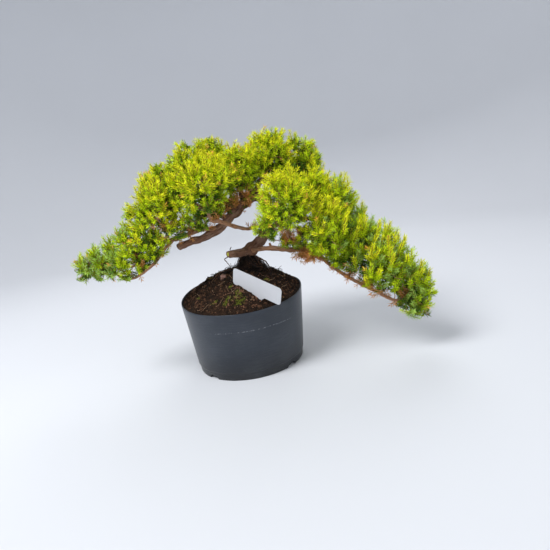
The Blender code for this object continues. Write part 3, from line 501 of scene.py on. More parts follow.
class Shape(Graph):
    """A geometry node tree with named inputs, run on a mesh."""

    KINDS = {float: "NodeSocketFloat", int: "NodeSocketInt",
             bpy.types.Object: "NodeSocketObject", bpy.types.Material: "NodeSocketMaterial"}

    def __init__(self, name, **inputs):
        super().__init__(bpy.data.node_groups.new(name, "GeometryNodeTree"))
        face = self.tree.interface
        face.new_socket("Geometry", in_out="INPUT", socket_type="NodeSocketGeometry")
        face.new_socket("Geometry", in_out="OUTPUT", socket_type="NodeSocketGeometry")
        for key, value in inputs.items():
            kind = value if isinstance(value, type) else type(value)
            socket = face.new_socket(key, in_out="INPUT", socket_type=self.KINDS[kind])
            if kind in (float, int):
                socket.default_value = value
        self.inlet = self.tree.nodes.new("NodeGroupInput")

    def __getitem__(self, name):
        return Wire(self, find_socket(self.inlet.outputs, name))

    def curves(self):
        """The lines of the mesh as curves."""
        return self.node("GeometryNodeMeshToCurve", {}, {"Mesh": self["Geometry"]})

    def store(self, geometry, name, value, kind="FLOAT"):
        """Keeps a value on each point under a name."""
        return self.node(
            "GeometryNodeStoreNamedAttribute", {"data_type": kind},
            {"Geometry": geometry, "Name": name, "Value": value}
        )

    def stored(self, name, kind="FLOAT"):
        return self.node("GeometryNodeInputNamedAttribute", {"data_type": kind}, {"Name": name})

    def random(self, low, high, seed, kind="FLOAT"):
        """A random value for each point."""
        return self.node(
            "FunctionNodeRandomValue", {"data_type": kind}, {"Min": low, "Max": high, "Seed": seed}, "Value"
        )

    def turned(self, rotation, axis, angle):
        """A rotation, turned further about one of its own axes."""
        turn = self.node("FunctionNodeAxisAngleToRotation", {}, {"Axis": axis, "Angle": angle})
        return self.node("FunctionNodeRotateRotation", {"rotation_space": "LOCAL"}, {
            "Rotation": rotation, "Rotate By": turn
        })

    def repeat(self, points, pattern, rotation, scale):
        """The pattern object on every point."""
        one = self.node("GeometryNodeObjectInfo", {}, {"Object": pattern}, "Geometry")
        return self.node("GeometryNodeInstanceOnPoints", {}, {
            "Points": points, "Instance": one, "Rotation": rotation, "Scale": self.vector(scale, scale, scale)
        })

    def close(self, geometry):
        """Ends the tree in real geometry with its material."""
        real = self.node("GeometryNodeRealizeInstances", {}, {"Geometry": geometry})
        done = self.node("GeometryNodeSetMaterial", {}, {"Geometry": real, "Material": self["Material"]})
        self.tree.links.new(done.socket, self.tree.nodes.new("NodeGroupOutput").inputs[0])
        return self

    def run(self, mesh, name, **inputs):
        """The plain mesh that the tree makes from a mesh."""
        holder = bpy.data.objects.new(name, mesh)
        bpy.context.scene.collection.objects.link(holder)
        modifier = holder.modifiers.new(name, "NODES")
        modifier.node_group = self.tree
        for item in self.tree.interface.items_tree:
            if item.in_out == "INPUT" and item.name in inputs:
                modifier[item.identifier] = inputs[item.name]
        made = evaluated_mesh(holder)
        made.materials.clear()
        made.materials.append(inputs["Material"])
        made.polygons.foreach_set("material_index", np.zeros(len(made.polygons), np.int32))
        holder.modifiers.remove(modifier)
        bpy.data.objects.remove(holder)
        bpy.data.meshes.remove(mesh)
        made.name = name
        return made


def evaluated_mesh(item):
    """The object's mesh with its modifiers, as a new mesh."""
    bpy.context.view_layer.update()
    return bpy.data.meshes.new_from_object(item.evaluated_get(bpy.context.evaluated_depsgraph_get()))


def add_piece(name, mesh, replaced=(), material=None):
    """Puts a finished mesh in the scene as a piece of the plant."""
    item = bpy.data.objects.new(name, mesh)
    bpy.context.scene.collection.objects.link(item)
    if material:
        mesh.materials.clear()
        mesh.materials.append(material)
    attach(item, "root")
    if replaced:
        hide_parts(*replaced)
    return item


def mesh_from(bm, name, smooth=True):
    """Writes the bmesh to a new mesh, in metres."""
    bmesh.ops.scale(bm, vec=(MM, MM, MM), verts=bm.verts)
    mesh = bpy.data.meshes.new(name)
    bm.to_mesh(mesh)
    bm.free()
    if smooth:
        mesh.shade_smooth()
    return mesh


def join_meshes(name, meshes):
    """One mesh of several."""
    bm = bmesh.new()
    for mesh in meshes:
        bm.from_mesh(mesh)
        bpy.data.meshes.remove(mesh)
    joined = bpy.data.meshes.new(name)
    bm.to_mesh(joined)
    bm.free()
    return joined


def store_values(mesh, name, values):
    """Keeps a number on each point of a mesh under a name."""
    mesh.attributes.new(name, "FLOAT", "POINT").data.foreach_set("value", np.array(values, np.float32))


def lines_mesh(name, lines):
    """A mesh of open lines through (x, y, z, radius) points, which keep their radius.

    A fifth value is how far along its shoot a point lies, from 0 at the base to 1 at the tip.
    """
    points, edges = [], []
    for line in lines:
        first = len(points)
        points.extend(line)
        edges.extend((index, index + 1) for index in range(first, len(points) - 1))
    mesh = bpy.data.meshes.new(name)
    mesh.from_pydata(np.array([point[:3] for point in points]) * MM, edges, [])
    store_values(mesh, "girth", np.array([point[3] for point in points], np.float32) * MM)
    if len(points[0]) > 4:
        store_values(mesh, "reach", [point[4] for point in points])
    return mesh


def ring(count, rule):
    """A ring of points about the Z axis; the rule gives the radius and the height at an angle."""
    points = []
    for step in range(count):
        angle = 2.0 * math.pi * step / count
        radius, height = rule(angle)
        points.append((radius * math.cos(angle), radius * math.sin(angle), height))
    return points


def flat_ring(count, radius, height):
    return ring(count, lambda angle: (radius, height))


def lofted(rings):
    """A closed surface through rings of points of equal count, with a fan on each end."""
    bm = bmesh.new()
    loops = [[bm.verts.new(point) for point in points] for points in rings]
    for here, there in zip(loops, loops[1:]):
        for index in range(len(here)):
            after = (index + 1) % len(here)
            bm.faces.new((here[index], here[after], there[after], there[index]))
    for loop in (loops[0][::-1], loops[-1]):
        bmesh.ops.poke(bm, faces=[bm.faces.new(loop)])
    bmesh.ops.recalc_face_normals(bm, faces=bm.faces)
    return bm


# Shapes that repeat or follow a line

# Bark relief: lumps a metre of each kind, and the radius (1 / 170 m) from which it is full
PLATE_SCALE = 430.0
FLAKE_SCALE = 1300.0
KNOB_SCALE = 150.0
FULL_RELIEF = 170.0


def tube_shape():
    """Lines to tapering tubes with ridged bark; girth is each point's radius."""
    shape = Shape("tube", Spacing=0.002, Sides=12, Relief=0.0, Material=bpy.types.Material)
    curve = shape.node("GeometryNodeResampleCurve", {"mode": "LENGTH"}, {
        "Curve": shape.curves(), "Length": shape["Spacing"]
    })
    curve = shape.store(curve, "along", shape.node("GeometryNodeSplineParameter", output="Length"))
    circle = shape.node("GeometryNodeCurvePrimitiveCircle", {}, {"Resolution": shape["Sides"], "Radius": 1.0})
    turn = shape.node("GeometryNodeSplineParameter", output="Factor") * (2.0 * math.pi)
    tube = shape.node("GeometryNodeCurveToMesh", {}, {
        "Curve": curve, "Profile Curve": shape.store(circle, "turn", turn), "Scale": shape.stored("girth"),
        "Fill Caps": True
    })
    girth, turn = shape.stored("girth"), shape.stored("turn")
    across = (shape.math("COSINE", turn) * girth, shape.math("SINE", turn) * girth)
    grain = shape.vector(*across, shape.stored("along"))
    plates = shape.noise(shape.stretched(grain, (1.0, 1.0, 0.24)), PLATE_SCALE, 2.5, 0.6)
    flakes = shape.noise(shape.stretched(grain, (1.0, 1.0, 0.55)), FLAKE_SCALE, 2.0, 0.6)
    knobs = shape.noise(shape.stretched(grain, (1.0, 1.0, 0.7)), KNOB_SCALE, 1.0, 0.5)
    thick = shape.math("MINIMUM", girth * FULL_RELIEF, 1.0)
    lift = ((plates - 0.5) * 1.7 + (flakes - 0.5) * 0.6) * thick * shape["Relief"] + (knobs - 0.5) * girth
    normal = shape.node("GeometryNodeInputNormal")
    offset = shape.node("ShaderNodeVectorMath", {"operation": "SCALE"}, {"Vector": normal, "Scale": lift})
    tube = shape.node("GeometryNodeSetPosition", {}, {"Geometry": tube, "Offset": offset})
    tube = shape.store(tube, "grain", grain, "FLOAT_VECTOR")
    return shape.close(shape.node("GeometryNodeSetShadeSmooth", {}, {"Geometry": tube}))




def run_lines(shape, name, lines, **inputs):
    """The mesh that a shape makes along some lines."""
    return shape.run(lines_mesh(name, lines), name, **inputs)


# Needles on a shoot: turns in radians, and sizes as shares of the pattern needle
NEEDLES_IN_RING = 3
TURN_JOG = 0.25
LEAN_AT_BASE = 1.10
LEAN_LOST = 0.34
LEAN_JOG = 0.22
SIZE_JOG = 0.12


def needle_shape():
    """Lines to shoots: rings of needles that stand out at the base and close in on the tip."""
    shape = Shape(
        "needles", Spacing=0.0018, Seed=1, Needle=bpy.types.Object, Material=bpy.types.Material
    )
    points = shape.node("GeometryNodeCurveToPoints", {"mode": "LENGTH"}, {
        "Curve": shape.curves(), "Length": shape["Spacing"]
    })
    rings = shape.store(points, "heading", points.also("Tangent"), "FLOAT_VECTOR")
    rings = shape.store(rings, "ring", shape.node("GeometryNodeInputIndex"))
    whorl = shape.node("GeometryNodeDuplicateElements", {"domain": "POINT"}, {
        "Geometry": rings, "Amount": NEEDLES_IN_RING
    })
    spots = shape.store(whorl, "place", whorl.also("Duplicate Index"))
    reach = shape.stored("reach")
    chance = shape.random(-1.0, 1.0, shape["Seed"])
    other = shape.random(-1.0, 1.0, shape["Seed"] + 7)
    turned = shape.node("FunctionNodeAlignRotationToVector", {"axis": "Z"}, {
        "Vector": shape.stored("heading", "FLOAT_VECTOR")
    })
    full, half = math.radians(360 / NEEDLES_IN_RING), math.radians(180 / NEEDLES_IN_RING)
    turn = shape.stored("place") * full + shape.stored("ring") * half + chance * TURN_JOG
    turned = shape.turned(turned, (0.0, 0.0, 1.0), turn)
    turned = shape.turned(turned, (1.0, 0.0, 0.0), LEAN_AT_BASE - reach * LEAN_LOST + other * LEAN_JOG)
    share = (0.78 + reach * 0.62 - reach * reach * 0.56) * (1.0 + chance * SIZE_JOG)
    return shape.close(shape.repeat(spots, shape["Needle"], turned, share))


def scatter_shape():
    """Small things strewn over a surface, where its share attribute allows."""
    shape = Shape(
        "scatter", Density=10000.0, Smallest=0.5, Largest=1.2, Upright=0.0, Seed=1,
        Grain=bpy.types.Object, Material=bpy.types.Material
    )
    points = shape.node("GeometryNodeDistributePointsOnFaces", {"distribute_method": "RANDOM"}, {
        "Mesh": shape["Geometry"], "Density": shape["Density"] * shape.stored("share"), "Seed": shape["Seed"]
    })
    spin = shape.random((-3.2, -3.2, -3.2), (3.2, 3.2, 3.2), shape["Seed"] + 3, "FLOAT_VECTOR")
    loose = 1.0 - shape["Upright"]
    spin = shape.stretched(spin, shape.vector(loose, loose, 1.0))
    turned = shape.node("FunctionNodeEulerToRotation", {}, {"Euler": spin})
    share = shape.random(shape["Smallest"], shape["Largest"], shape["Seed"] + 5)
    return shape.close(shape.repeat(points, shape["Grain"], turned, share))


def pattern_object(name, bm):
    """A small shape for the node trees to repeat.  It goes with its mesh when the piece is made."""
    pattern = bpy.data.objects.new(name, mesh_from(bm, name, smooth=False))
    bpy.context.scene.collection.objects.link(pattern)
    return pattern


def needle_bmesh(length, width):
    """One needle along Z: a slim keeled blade, widest low down and sharp at its tip."""
    bm = bmesh.new()
    low = 0.42 * length
    foot = bm.verts.new((0.0, 0.0, 0.0))
    tip = bm.verts.new((0.0, 0.10 * length, length))
    waist = [
        bm.verts.new((-0.5 * width, 0.02 * length, low)),
        bm.verts.new((0.0, -0.26 * width, low)),
        bm.verts.new((0.5 * width, 0.02 * length, low)),
    ]
    for here, there in zip(waist, waist[1:] + waist[:1]):
        bm.faces.new((foot, there, here))
        bm.faces.new((here, there, tip))
    bmesh.ops.recalc_face_normals(bm, faces=bm.faces)
    return bm


# Growth

def smooth_route(knots, spacing):
    """Points along a smooth curve through the knots, each (x, y, z, radius)."""
    knots = [Vector(knot) for knot in knots]
    ends = [2.0 * knots[0] - knots[1]] + knots + [2.0 * knots[-1] - knots[-2]]
    route = []
    for before, here, there, after in zip(ends, ends[1:], ends[2:], ends[3:]):
        count = max(1, round((there - here).length / spacing))
        for index in range(count):
            t = index / count
            bend = (2.0 * before - 5.0 * here + 4.0 * there - after) * t * t
            twist = (3.0 * here - before - 3.0 * there + after) * t * t * t
            route.append(0.5 * (2.0 * here + (there - before) * t + bend + twist))
    route.append(knots[-1])
    return route


class Cell:
    """The space of one mass: an ellipsoid, kept to its own side of its neighbours."""

    def __init__(self, heart, half_sizes, tilt):
        self.heart = Vector(heart)
        self.half_sizes = Vector(half_sizes)
        self.turn = Matrix.Rotation(-math.radians(tilt), 3, "Y")
        self.walls = []

    def measure(self, offset):
        """The length of an offset from the heart, where the ellipsoid's own radius is 1."""
        local = self.turn.transposed() @ offset
        return Vector(value / half for value, half in zip(local, self.half_sizes)).length

    def part_from(self, other):
        """Adds the wall that parts this cell from another."""
        away = other.heart - self.heart
        distance = away.length
        away.normalize()
        place = 0.5 * (distance + 1.0 / self.measure(away) - 1.0 / other.measure(-away))
        self.walls.append((away, away.dot(self.heart) + place))

    def share(self, point):
        """How far out a point lies: 1 on the boundary, less inside."""
        out = self.measure(point - self.heart)
        for normal, level in self.walls:
            room = level - CELL_MARGIN - normal.dot(self.heart)
            out = max(out, normal.dot(point - self.heart) / room)
        return out


def build_cells():
    """One cell for each mass, parted from all the others."""
    cells = {name: Cell(heart, sizes, tilt) for name, _, heart, sizes, tilt, _ in MASSES}
    for name, cell in cells.items():
        for other_name, other in cells.items():
            if other_name != name:
                cell.part_from(other)
    return cells


def limb_routes(cells):
    """The bare route of each limb, and of the stem that runs on from a limb inside its mass."""
    carried = {limb: name for name, limb, *_ in MASSES}
    limbs, stems = {}, {}
    for name, parent, knots in LIMBS:
        if name in CARRYING_ON:
            knots = (tuple(limbs[parent][-1]), *knots)
        if name in carried:
            cell = cells[carried[name]]
            knots = (*knots, (*cell.heart, HEART_THINNING * knots[-1][3]))
        route = smooth_route(knots, LIMB_SPACING)
        if name in carried:
            entry = next(i for i, point in enumerate(route) if cell.share(point.xyz) < ENTRY_SHARE)
            stems[carried[name]] = route[entry - 1:]
            route = route[:entry]
        limbs[name] = route
    return limbs, stems


class LimbSpace:
    """The room that the limbs take up, as straight round-ended stretches."""

    def __init__(self, limbs):
        pairs = [(here, there) for route in limbs.values() for here, there in zip(route, route[1:])]
        self.starts = np.array([here.xyz for here, _ in pairs])
        self.runs = np.array([there.xyz for _, there in pairs]) - self.starts
        self.radii = np.array([max(here.w, there.w) for here, there in pairs])

    def room(self, points):
        """The least distance from the points to the skin of a limb."""
        points = np.array(points)[:, None, :] - self.starts[None, :, :]
        along = (points * self.runs).sum(axis=2) / (self.runs ** 2).sum(axis=1)
        along = np.clip(along, 0.0, 1.0)
        distance = np.linalg.norm(points - along[:, :, None] * self.runs, axis=2)
        return float((distance - self.radii).min())


class Grove:
    """All shoots and twigs of the plant, kept by kind until they are made into pieces."""

    def __init__(self):
        self.shoots = {}
        self.stems = {}
        self.twigs = {}

    def add_shoot(self, region, tint, line, shaded=None):
        """A stem with its needles, which near its base may be of a more shaded tint."""
        last = len(line) - 1
        line = [(*point, index / last) for index, point in enumerate(line)]
        self.stems.setdefault(region, []).append([point[:4] for point in line])
        if shaded:
            half = (last + 1) // 2
            self.shoots.setdefault((region, shaded), []).append(line[:half + 1])
            line = line[half:]
        self.shoots.setdefault((region, tint), []).append(line)

    def add_twig(self, region, line):
        self.twigs.setdefault(region, []).append(line)


def region_of(place):
    """The name of the part of the crown in which a place lies."""
    return next(name for limit, name in REGIONS if place[0] < limit)


def bent_line(start, end, bow, count):
    """Points on a bow from one place to another."""
    points = []
    for index in range(count + 1):
        t = index / count
        points.append(start.lerp(end, t) + bow * (4.0 * t * (1.0 - t)))
    return points


class Crown:
    """The whole room of the foliage: the masses and the pads between them, blended into one."""

    def __init__(self, cells):
        forms = [(cell.heart, cell.half_sizes, cell.turn) for cell in cells.values()]
        forms += [(heart, half_sizes, Matrix.Identity(3)) for heart, half_sizes, _ in PADS]
        self.hearts = np.array([heart for heart, _, _ in forms], float)
        self.halves = np.array([half_sizes for _, half_sizes, _ in forms], float)
        self.turns = np.array([turn for _, _, turn in forms], float)
        self.warmth = np.array([mass[5] for mass in MASSES] + [pad[2] for pad in PADS])

    def measure(self, points):
        """How far out each point lies (1 on the skin), its way out, and how yellow it is there."""
        away = points[:, None, :] - self.hearts[None, :, :]
        local = np.einsum("nji,pnj->pni", self.turns, away) / self.halves
        shares = np.maximum(np.linalg.norm(local, axis=2), 1e-6)
        weights = np.exp(-BLEND * shares)
        total = weights.sum(axis=1, keepdims=True)
        slopes = np.einsum("nij,pnj->pni", self.turns, local / self.halves) / shares[:, :, None]
        out = (slopes * (weights / total)[:, :, None]).sum(axis=1)
        out /= np.maximum(np.linalg.norm(out, axis=1, keepdims=True), 1e-9)
        return -np.log(total[:, 0]) / BLEND, out, (weights / total) @ self.warmth

    def candidates(self, density, generator):
        """Places strewn evenly through the room of every form."""
        clouds = []
        for heart, half_sizes in zip(self.hearts, self.halves):
            reach = half_sizes.max() * 1.12
            box = np.minimum(np.array([reach, reach, reach]), half_sizes * 1.5)
            clouds.append(heart + generator.uniform(-1.0, 1.0, (int(8.0 * box.prod() * density), 3)) * box)
        cloud = np.concatenate(clouds)
        generator.shuffle(cloud)
        return cloud


class Spacing:
    """Keeps places at least a distance apart."""

    def __init__(self, distance):
        self.distance = distance
        self.taken = {}

    def try_place(self, place):
        """Takes a place unless it is too near to one that was taken before."""
        key = tuple(int(value // self.distance) for value in place)
        for step in product((-1, 0, 1), repeat=3):
            for other in self.taken.get(tuple(index + move for index, move in zip(key, step)), ()):
                if math.dist(other, place) < self.distance:
                    return False
        self.taken.setdefault(key, []).append(place)
        return True


class Twigs:
    """A branching network on the limbs.  Each new place joins on where the way is shortest."""

    def __init__(self, roots):
        self.places = np.zeros((MOST_PLACES, 3))
        self.costs = np.zeros(MOST_PLACES)
        self.parents = []
        self.loads = []
        self.branches = []
        for root in roots:
            self.add(root, -1, 0.0)

    def add(self, place, parent, cost):
        index = len(self.parents)
        self.places[index] = place
        self.costs[index] = cost
        self.parents.append(parent)
        self.loads.append(0)
        return index

    def distances(self, place):
        """How far a place is from each node."""
        return np.linalg.norm(self.places[:len(self.parents)] - np.array(place), axis=1)

    def join(self, place, chance):
        """Grows a twig to a place from the node that gives the shortest way."""
        start = int(np.argmin(self.distances(place) + self.costs[:len(self.parents)]))
        origin = Vector(self.places[start])
        run = place - origin
        bow = jog(chance, 0.1) * run.length
        bow.z -= 0.07 * run.length
        count = max(1, round(run.length / TWIG_STEP))
        chain = [start]
        for point in bent_line(origin, place, bow, count)[1:]:
            cost = self.costs[chain[-1]] + TWIG_COST * run.length / count
            chain.append(self.add(point, chain[-1], cost))
        self.branches.append(chain)
        index = chain[-1]
        while index >= 0:
            self.loads[index] += 1
            index = self.parents[index]

    def lines(self):
        """Each branch as (x, y, z, radius) points, thicker where it bears more."""
        found = []
        for chain in self.branches:
            loads = [self.loads[max(index, chain[1])] for index in chain]
            radii = [TWIG_RADIUS + TWIG_GROWTH * math.sqrt(load) for load in loads]
            found.append([(*self.places[index], radius) for index, radius in zip(chain, radii)])
        return found


def choose_tint(score):
    """A foliage colour that paints how much light a shoot gets."""
    for limit, tint in TINT_LIMITS:
        if score < limit:
            return tint
    return "yellow"


def within(places, forms):
    """Which places lie inside any of some rounded forms."""
    found = np.zeros(len(places), bool)
    for middle, half_sizes in forms:
        away = (places - np.array(middle)) / np.array(half_sizes)
        found |= (away ** 2).sum(axis=1) < 1.0
    return found


def inside_box(places, margin):
    """Which places keep a margin from the sides of the part's own box."""
    low, high = (np.array(corner) / MM for corner in CAD_BOX)
    return ((places > low + margin) & (places < high - margin)).all(axis=1)


def plan_tufts(cloud, levels):
    """Places from which the shoots of a tuft spread, each with its own reach."""
    spacing = Spacing(TUFT_SPACING)
    chance = random.Random(SEED + 2)
    hearts, reaches = [], []
    for place, level in zip(cloud, levels):
        if TUFT_HEARTS[0] < level < TUFT_HEARTS[1] and spacing.try_place(tuple(place)):
            hearts.append(place)
            reaches.append(chance.uniform(*TUFT_REACH))
    return np.array(hearts), np.array(reaches)


def shoot_heading(chance, spread, out, tall):
    """The way a shoot grows: off its tuft's heart, out of the crown and up."""
    shake = jog(chance, 0.3) * (1.0 + 0.5 * tall)
    lift = UP * (chance.uniform(0.1, 0.5) + 0.30 * tall) + Vector((0.12 * tall, 0.0, 0.0))
    return (spread.normalized() * (0.75 - 0.25 * tall) + out * 0.35 + lift + shake).normalized()


def shoot_length(chance, outer, tall):
    """Shoots are short inside the crown, and long over the low bough."""
    if not outer:
        return chance.uniform(8.0, 15.0)
    return chance.uniform(9.0, 19.0) + tall * chance.uniform(0.0, 11.0)


def shoot_light(chance, tip, heading, out, depth, warm, tall):
    """How much light a shoot gets, for the way it faces and how far out it stands, to be painted into its
    tint.
    """
    light = 0.20 * heading.z + 0.32 * out.z - 0.16 * out.y + 1.7 * (depth - 0.82)
    patch = noise.noise(tip * PATCH_SCALE)
    light += (warm - 0.3) * 0.9 + 0.22 * patch + chance.gauss(0.0, 0.09) + 0.47 - 0.17 * tall
    return light


def shoot_tint(chance, light, tall, left_end, hollow, dying):
    """The tint of a shoot: painted yellower in the light and darker in the shade of the hollows, bluish
    towards the ends, brown where it dies.
    """
    # Painted shade: shoots in the hollows take darker tints.
    tint = choose_tint(light + 0.16 * left_end - (HOLLOW_SHADE if hollow else 0.0))
    if tint == "yellow" and left_end > 0.4:
        tint = "lime"
    if tint in ("lime", "green") and chance.random() < BLUISH_SHARE * max(tall, left_end):
        tint = "bluish"
    if dying and chance.random() < WITHERED_SHARE:
        tint = "dead"
    return tint


def plan_shoots(crown, space, settings):
    """Where shoots stand: each (base, tip, heading, tint, whether it is on the skin)."""
    chance = random.Random(SEED)
    cloud = crown.candidates(CANDIDATES, np.random.default_rng(SEED))
    levels, ways, warmth = crown.measure(cloud)
    hearts, reaches = plan_tufts(cloud, levels)
    wanted = inside_box(cloud, BOX_MARGIN) & ~within(cloud, CLEARINGS)
    wanted &= (levels > INNERMOST) & (levels < OUTERMOST)
    cloud, levels, ways, warmth = (values[wanted] for values in (cloud, levels, ways, warmth))
    withered, hollows = within(cloud, WITHERED), within(cloud, SHADED_HOLLOWS)
    skin, shade = Spacing(settings.shoot_spacing), Spacing(SHADE_SPACING)
    loose = Spacing(LOOSER * settings.shoot_spacing)
    planned = []
    for place, level, way, warm, dying, hollow in zip(cloud, levels, ways, warmth, withered, hollows):
        outer = level > SKIN_FROM
        away = place - hearts
        tuft = int(np.argmin(np.linalg.norm(away, axis=1) - 0.5 * (away @ way)))
        tip, out, spread = Vector(place), Vector(way), Vector(away[tuft])
        aside = (spread - out * spread.dot(out)).length
        if level > reaches[tuft] - TUFT_ROUNDING * (aside / TUFT_SPACING) ** 2:
            continue
        tall, left_end = rise(tip.x, *OVER_LOW_BOUGH), rise(-tip.x, *LEFT_END)
        room = (loose if tall > 0.5 else skin) if outer else shade
        if not room.try_place(tuple(place)):
            continue
        heading = shoot_heading(chance, spread, out, tall)
        base = tip - heading * shoot_length(chance, outer, tall)
        if space.room([tip, tip.lerp(base, 0.5)]) < 1.0:
            continue
        light = shoot_light(chance, tip, heading, out, level / reaches[tuft], warm, tall)
        tint = shoot_tint(chance, light, tall, left_end, hollow, dying)
        planned.append((base, tip, heading, tint, outer))
    bases = np.array([base for base, *_ in planned])
    kept = (crown.measure(bases)[0] < 0.95) & inside_box(bases, BASE_MARGIN)
    return [shoot for shoot, keep in zip(planned, kept) if keep]


def grow_foliage(limbs, stems, cells, settings):
    """Every shoot of the crown on its twigs, the low tuft and the dead twigs of the boughs."""
    grove = Grove()
    crown = Crown(cells)
    carriers = [point.xyz for name, route in limbs.items() if name not in BARE_LIMBS for point in route]
    carriers += [point.xyz for route in stems.values() for point in route]
    levels, _, _ = crown.measure(np.array(carriers))
    twigs = Twigs([place for place, level in zip(carriers, levels) if level < 1.02])
    chance = random.Random(SEED + 1)
    planned = plan_shoots(crown, LimbSpace(limbs), settings)
    planned.sort(key=lambda shoot: float(twigs.distances(shoot[0]).min()))
    for base, tip, heading, tint, outer in planned:
        twigs.join(base, chance)
        curl = UP * 0.10 + jog(chance, 0.06)
        line = bent_line(base, tip, -curl * (tip - base).length, 4)
        grove.add_shoot(region_of(tip), tint, [(*point, SHOOT_RADIUS) for point in line], SHADED.get(tint))
        if outer and chance.random() < TIP_SHARE:
            bud = [(*(tip - heading * 1.0), 0.4), (*(tip + heading * 1.2), 0.3)]
            grove.add_shoot(region_of(tip), "tip", bud)
    for base, tip, tint in LONE_SHOOTS:
        base, tip = Vector(base), Vector(tip)
        twigs.join(base, chance)
        line = bent_line(base, tip, UP * -0.8, 4)
        grove.add_shoot(region_of(tip), tint, [(*point, SHOOT_RADIUS) for point in line], SHADED[tint])
    for line in twigs.lines():
        grove.add_twig(region_of(line[-1]), line)
    grow_low_tuft(grove)
    grow_dead_twigs(grove, limbs)
    return grove


def grow_dead_twigs(grove, limbs):
    """Short dead twigs, with the last of their needles, along the bare undersides of the boughs."""
    chance = random.Random(SEED + 500)
    for name, share, start in DEAD_ALONG:
        for point in limbs[name]:
            if point.x < start or chance.random() > share:
                continue
            across, deep = chance.uniform(-0.9, 0.9), chance.uniform(-0.9, 0.4)
            heading = Vector((across, deep, chance.uniform(-0.5, 1.0)))
            heading.normalize()
            root = point.xyz + heading * 0.6 * point.w
            tip = root + heading * chance.uniform(3.0, 8.0)
            grove.add_shoot(region_of(tip), "dead", [(*root, 0.45), (*tip, 0.3)])


def grow_low_tuft(grove):
    """Dead needles round the low bough, and a small green sprig on it."""
    chance = random.Random(SEED + 400)
    for _ in range(DEAD_TWIGS):
        root = Vector((chance.gauss(92, 8), chance.uniform(-39, -27), chance.gauss(132.5, 3.5)))
        across, deep = chance.gauss(0.0, 0.5), chance.gauss(-0.3, 0.5)
        heading = Vector((across, deep, chance.gauss(0.1, 0.6))).normalized()
        tip = root + heading * chance.uniform(4, 9)
        grove.add_shoot("shoulder", "dead", [(*root, 0.4), (*tip, 0.3)])
    for step in range(SPRIG_SHOOTS):
        root = Vector((54 + 3.4 * step, -19 - 1.1 * step, 143.0))
        heading = Vector((chance.uniform(0.2, 1.0), chance.uniform(-0.5, 0.1), 0.45)).normalized()
        tip = root + heading * chance.uniform(8, 13)
        grove.add_shoot("shoulder", "lime", [(*root, 0.4), (*tip, 0.3)])


# Materials

SCRATCH_HEIGHT = 62.0
GRUBBY_HEIGHT = 0.088
GRIME = (0.10, 0.065, 0.045)
TINT_SPREAD = 0.22
WAX = (0.62, 0.72, 0.22)


def make_plastic(pot):
    """Slate-grey moulded plastic, dusty low down, with fine scuffs and faint turning lines, and a painted
    dark reflection near the foot.
    """
    look = Finish("pot_plastic", 0.34, 0.5)
    height = look.height()
    cloud = look.noise(look.place, 26.0, 4.0, 0.6)
    specks = look.patches(1500.0, 2.0, 0.7, 0.66, 0.76)
    scuffs = look.noise(look.stretched(look.place, (1.0, 1.0, 14.0)), 70.0, 4.0, 0.62)
    dust = look.ramp(cloud * 0.5 + scuffs * 0.5, (0.46, 0.0), (0.74, 0.55))
    foot = (1.0 - height * 40.0).clamp() * 0.05
    round_way = look.node("ShaderNodeTexGradient", {"gradient_type": "RADIAL"}, {"Vector": look.place}, "Fac")
    level = height * 1000.0 - SCRATCH_HEIGHT - look.noise(look.place, 60.0, 2.0, 0.5) * 1.6 + 0.8
    line = 1.0 - (look.math("ABSOLUTE", level) * 1.6).clamp()
    dashes = look.patches(330.0, 3.0, 0.7, 0.50, 0.58)
    front = look.ramp(round_way, (0.16, 0.0), (0.20, 1.0), (0.37, 1.0), (0.40, 0.0))
    amount = (dust * 0.30 + specks * 0.30 + foot + line * dashes * front * 1.6).clamp()
    shade = look.mix(cloud * 0.6, pot.plastic, tinted(pot.plastic, 1.35))
    # Painted dark reflection: the colour darkens to near black over the lowest 38 mm of the wall.
    shade = look.mix((height * 26.0).clamp(), tinted(pot.plastic, 0.12), shade)
    lines = look.node("ShaderNodeTexWave", {"wave_type": "BANDS", "bands_direction": "Z"}, {
        "Vector": look.place, "Scale": 210.0, "Distortion": 0.4, "Detail": 2.0
    }, "Fac")
    return look.wear(
        look.mix(amount, shade, pot.dust), 0.27 + amount * 0.3 + scuffs * 0.14,
        scuffs * 0.4 + lines * 0.12 + specks * 0.2, 0.0003
    )


def make_label(pot):
    """White styrene, a little grubby where it meets the soil."""
    look = Finish("label_plastic", 0.42, 0.5)
    low = (1.0 - (look.height() - GRUBBY_HEIGHT) * 110.0).clamp()
    smear = look.ramp(look.noise(look.place, 240.0, 4.0, 0.7) + low * 0.12, (0.62, 0.0), (0.80, 1.0))
    specks = look.patches(900.0, 2.0, 0.6, 0.70, 0.74, 0.8)
    dirt = (smear * low * 0.5 + specks * (0.04 + low * 0.7)).clamp()
    soft = look.noise(look.place, 60.0, 2.0, 0.5)
    white = look.mix(dirt, look.mix(soft, pot.label, tinted(pot.label, 0.9)), GRIME)
    return look.wear(white, 0.36 + dirt * 0.5, smear + soft * 0.3, 0.0001)


def make_soil(soil):
    """Damp peaty soil: dark crumbs, dry brown ones and a few pale specks."""
    look = Finish("potting_soil", 0.92, 0.10)
    big = look.noise(look.place, 120.0, 4.0, 0.65)
    small = look.noise(look.place, 800.0, 3.0, 0.7)
    grains = look.node("ShaderNodeTexVoronoi", {"feature": "F1"}, {"Vector": look.place, "Scale": 700.0})
    tone = look.ramp(big * 0.55 + small * 0.45, (0.42, 0.0), (0.68, 1.0))
    shade = look.mix(tone, soil.dark, soil.brown)
    specks = look.patches(1400.0, 1.0, 0.5, 0.70, 0.74)
    return look.wear(
        look.mix(specks * 0.6, shade, soil.pale_chip), 0.8 + small * 0.18,
        small * 0.6 + grains * 0.5 + big * 0.4, 0.0012
    )


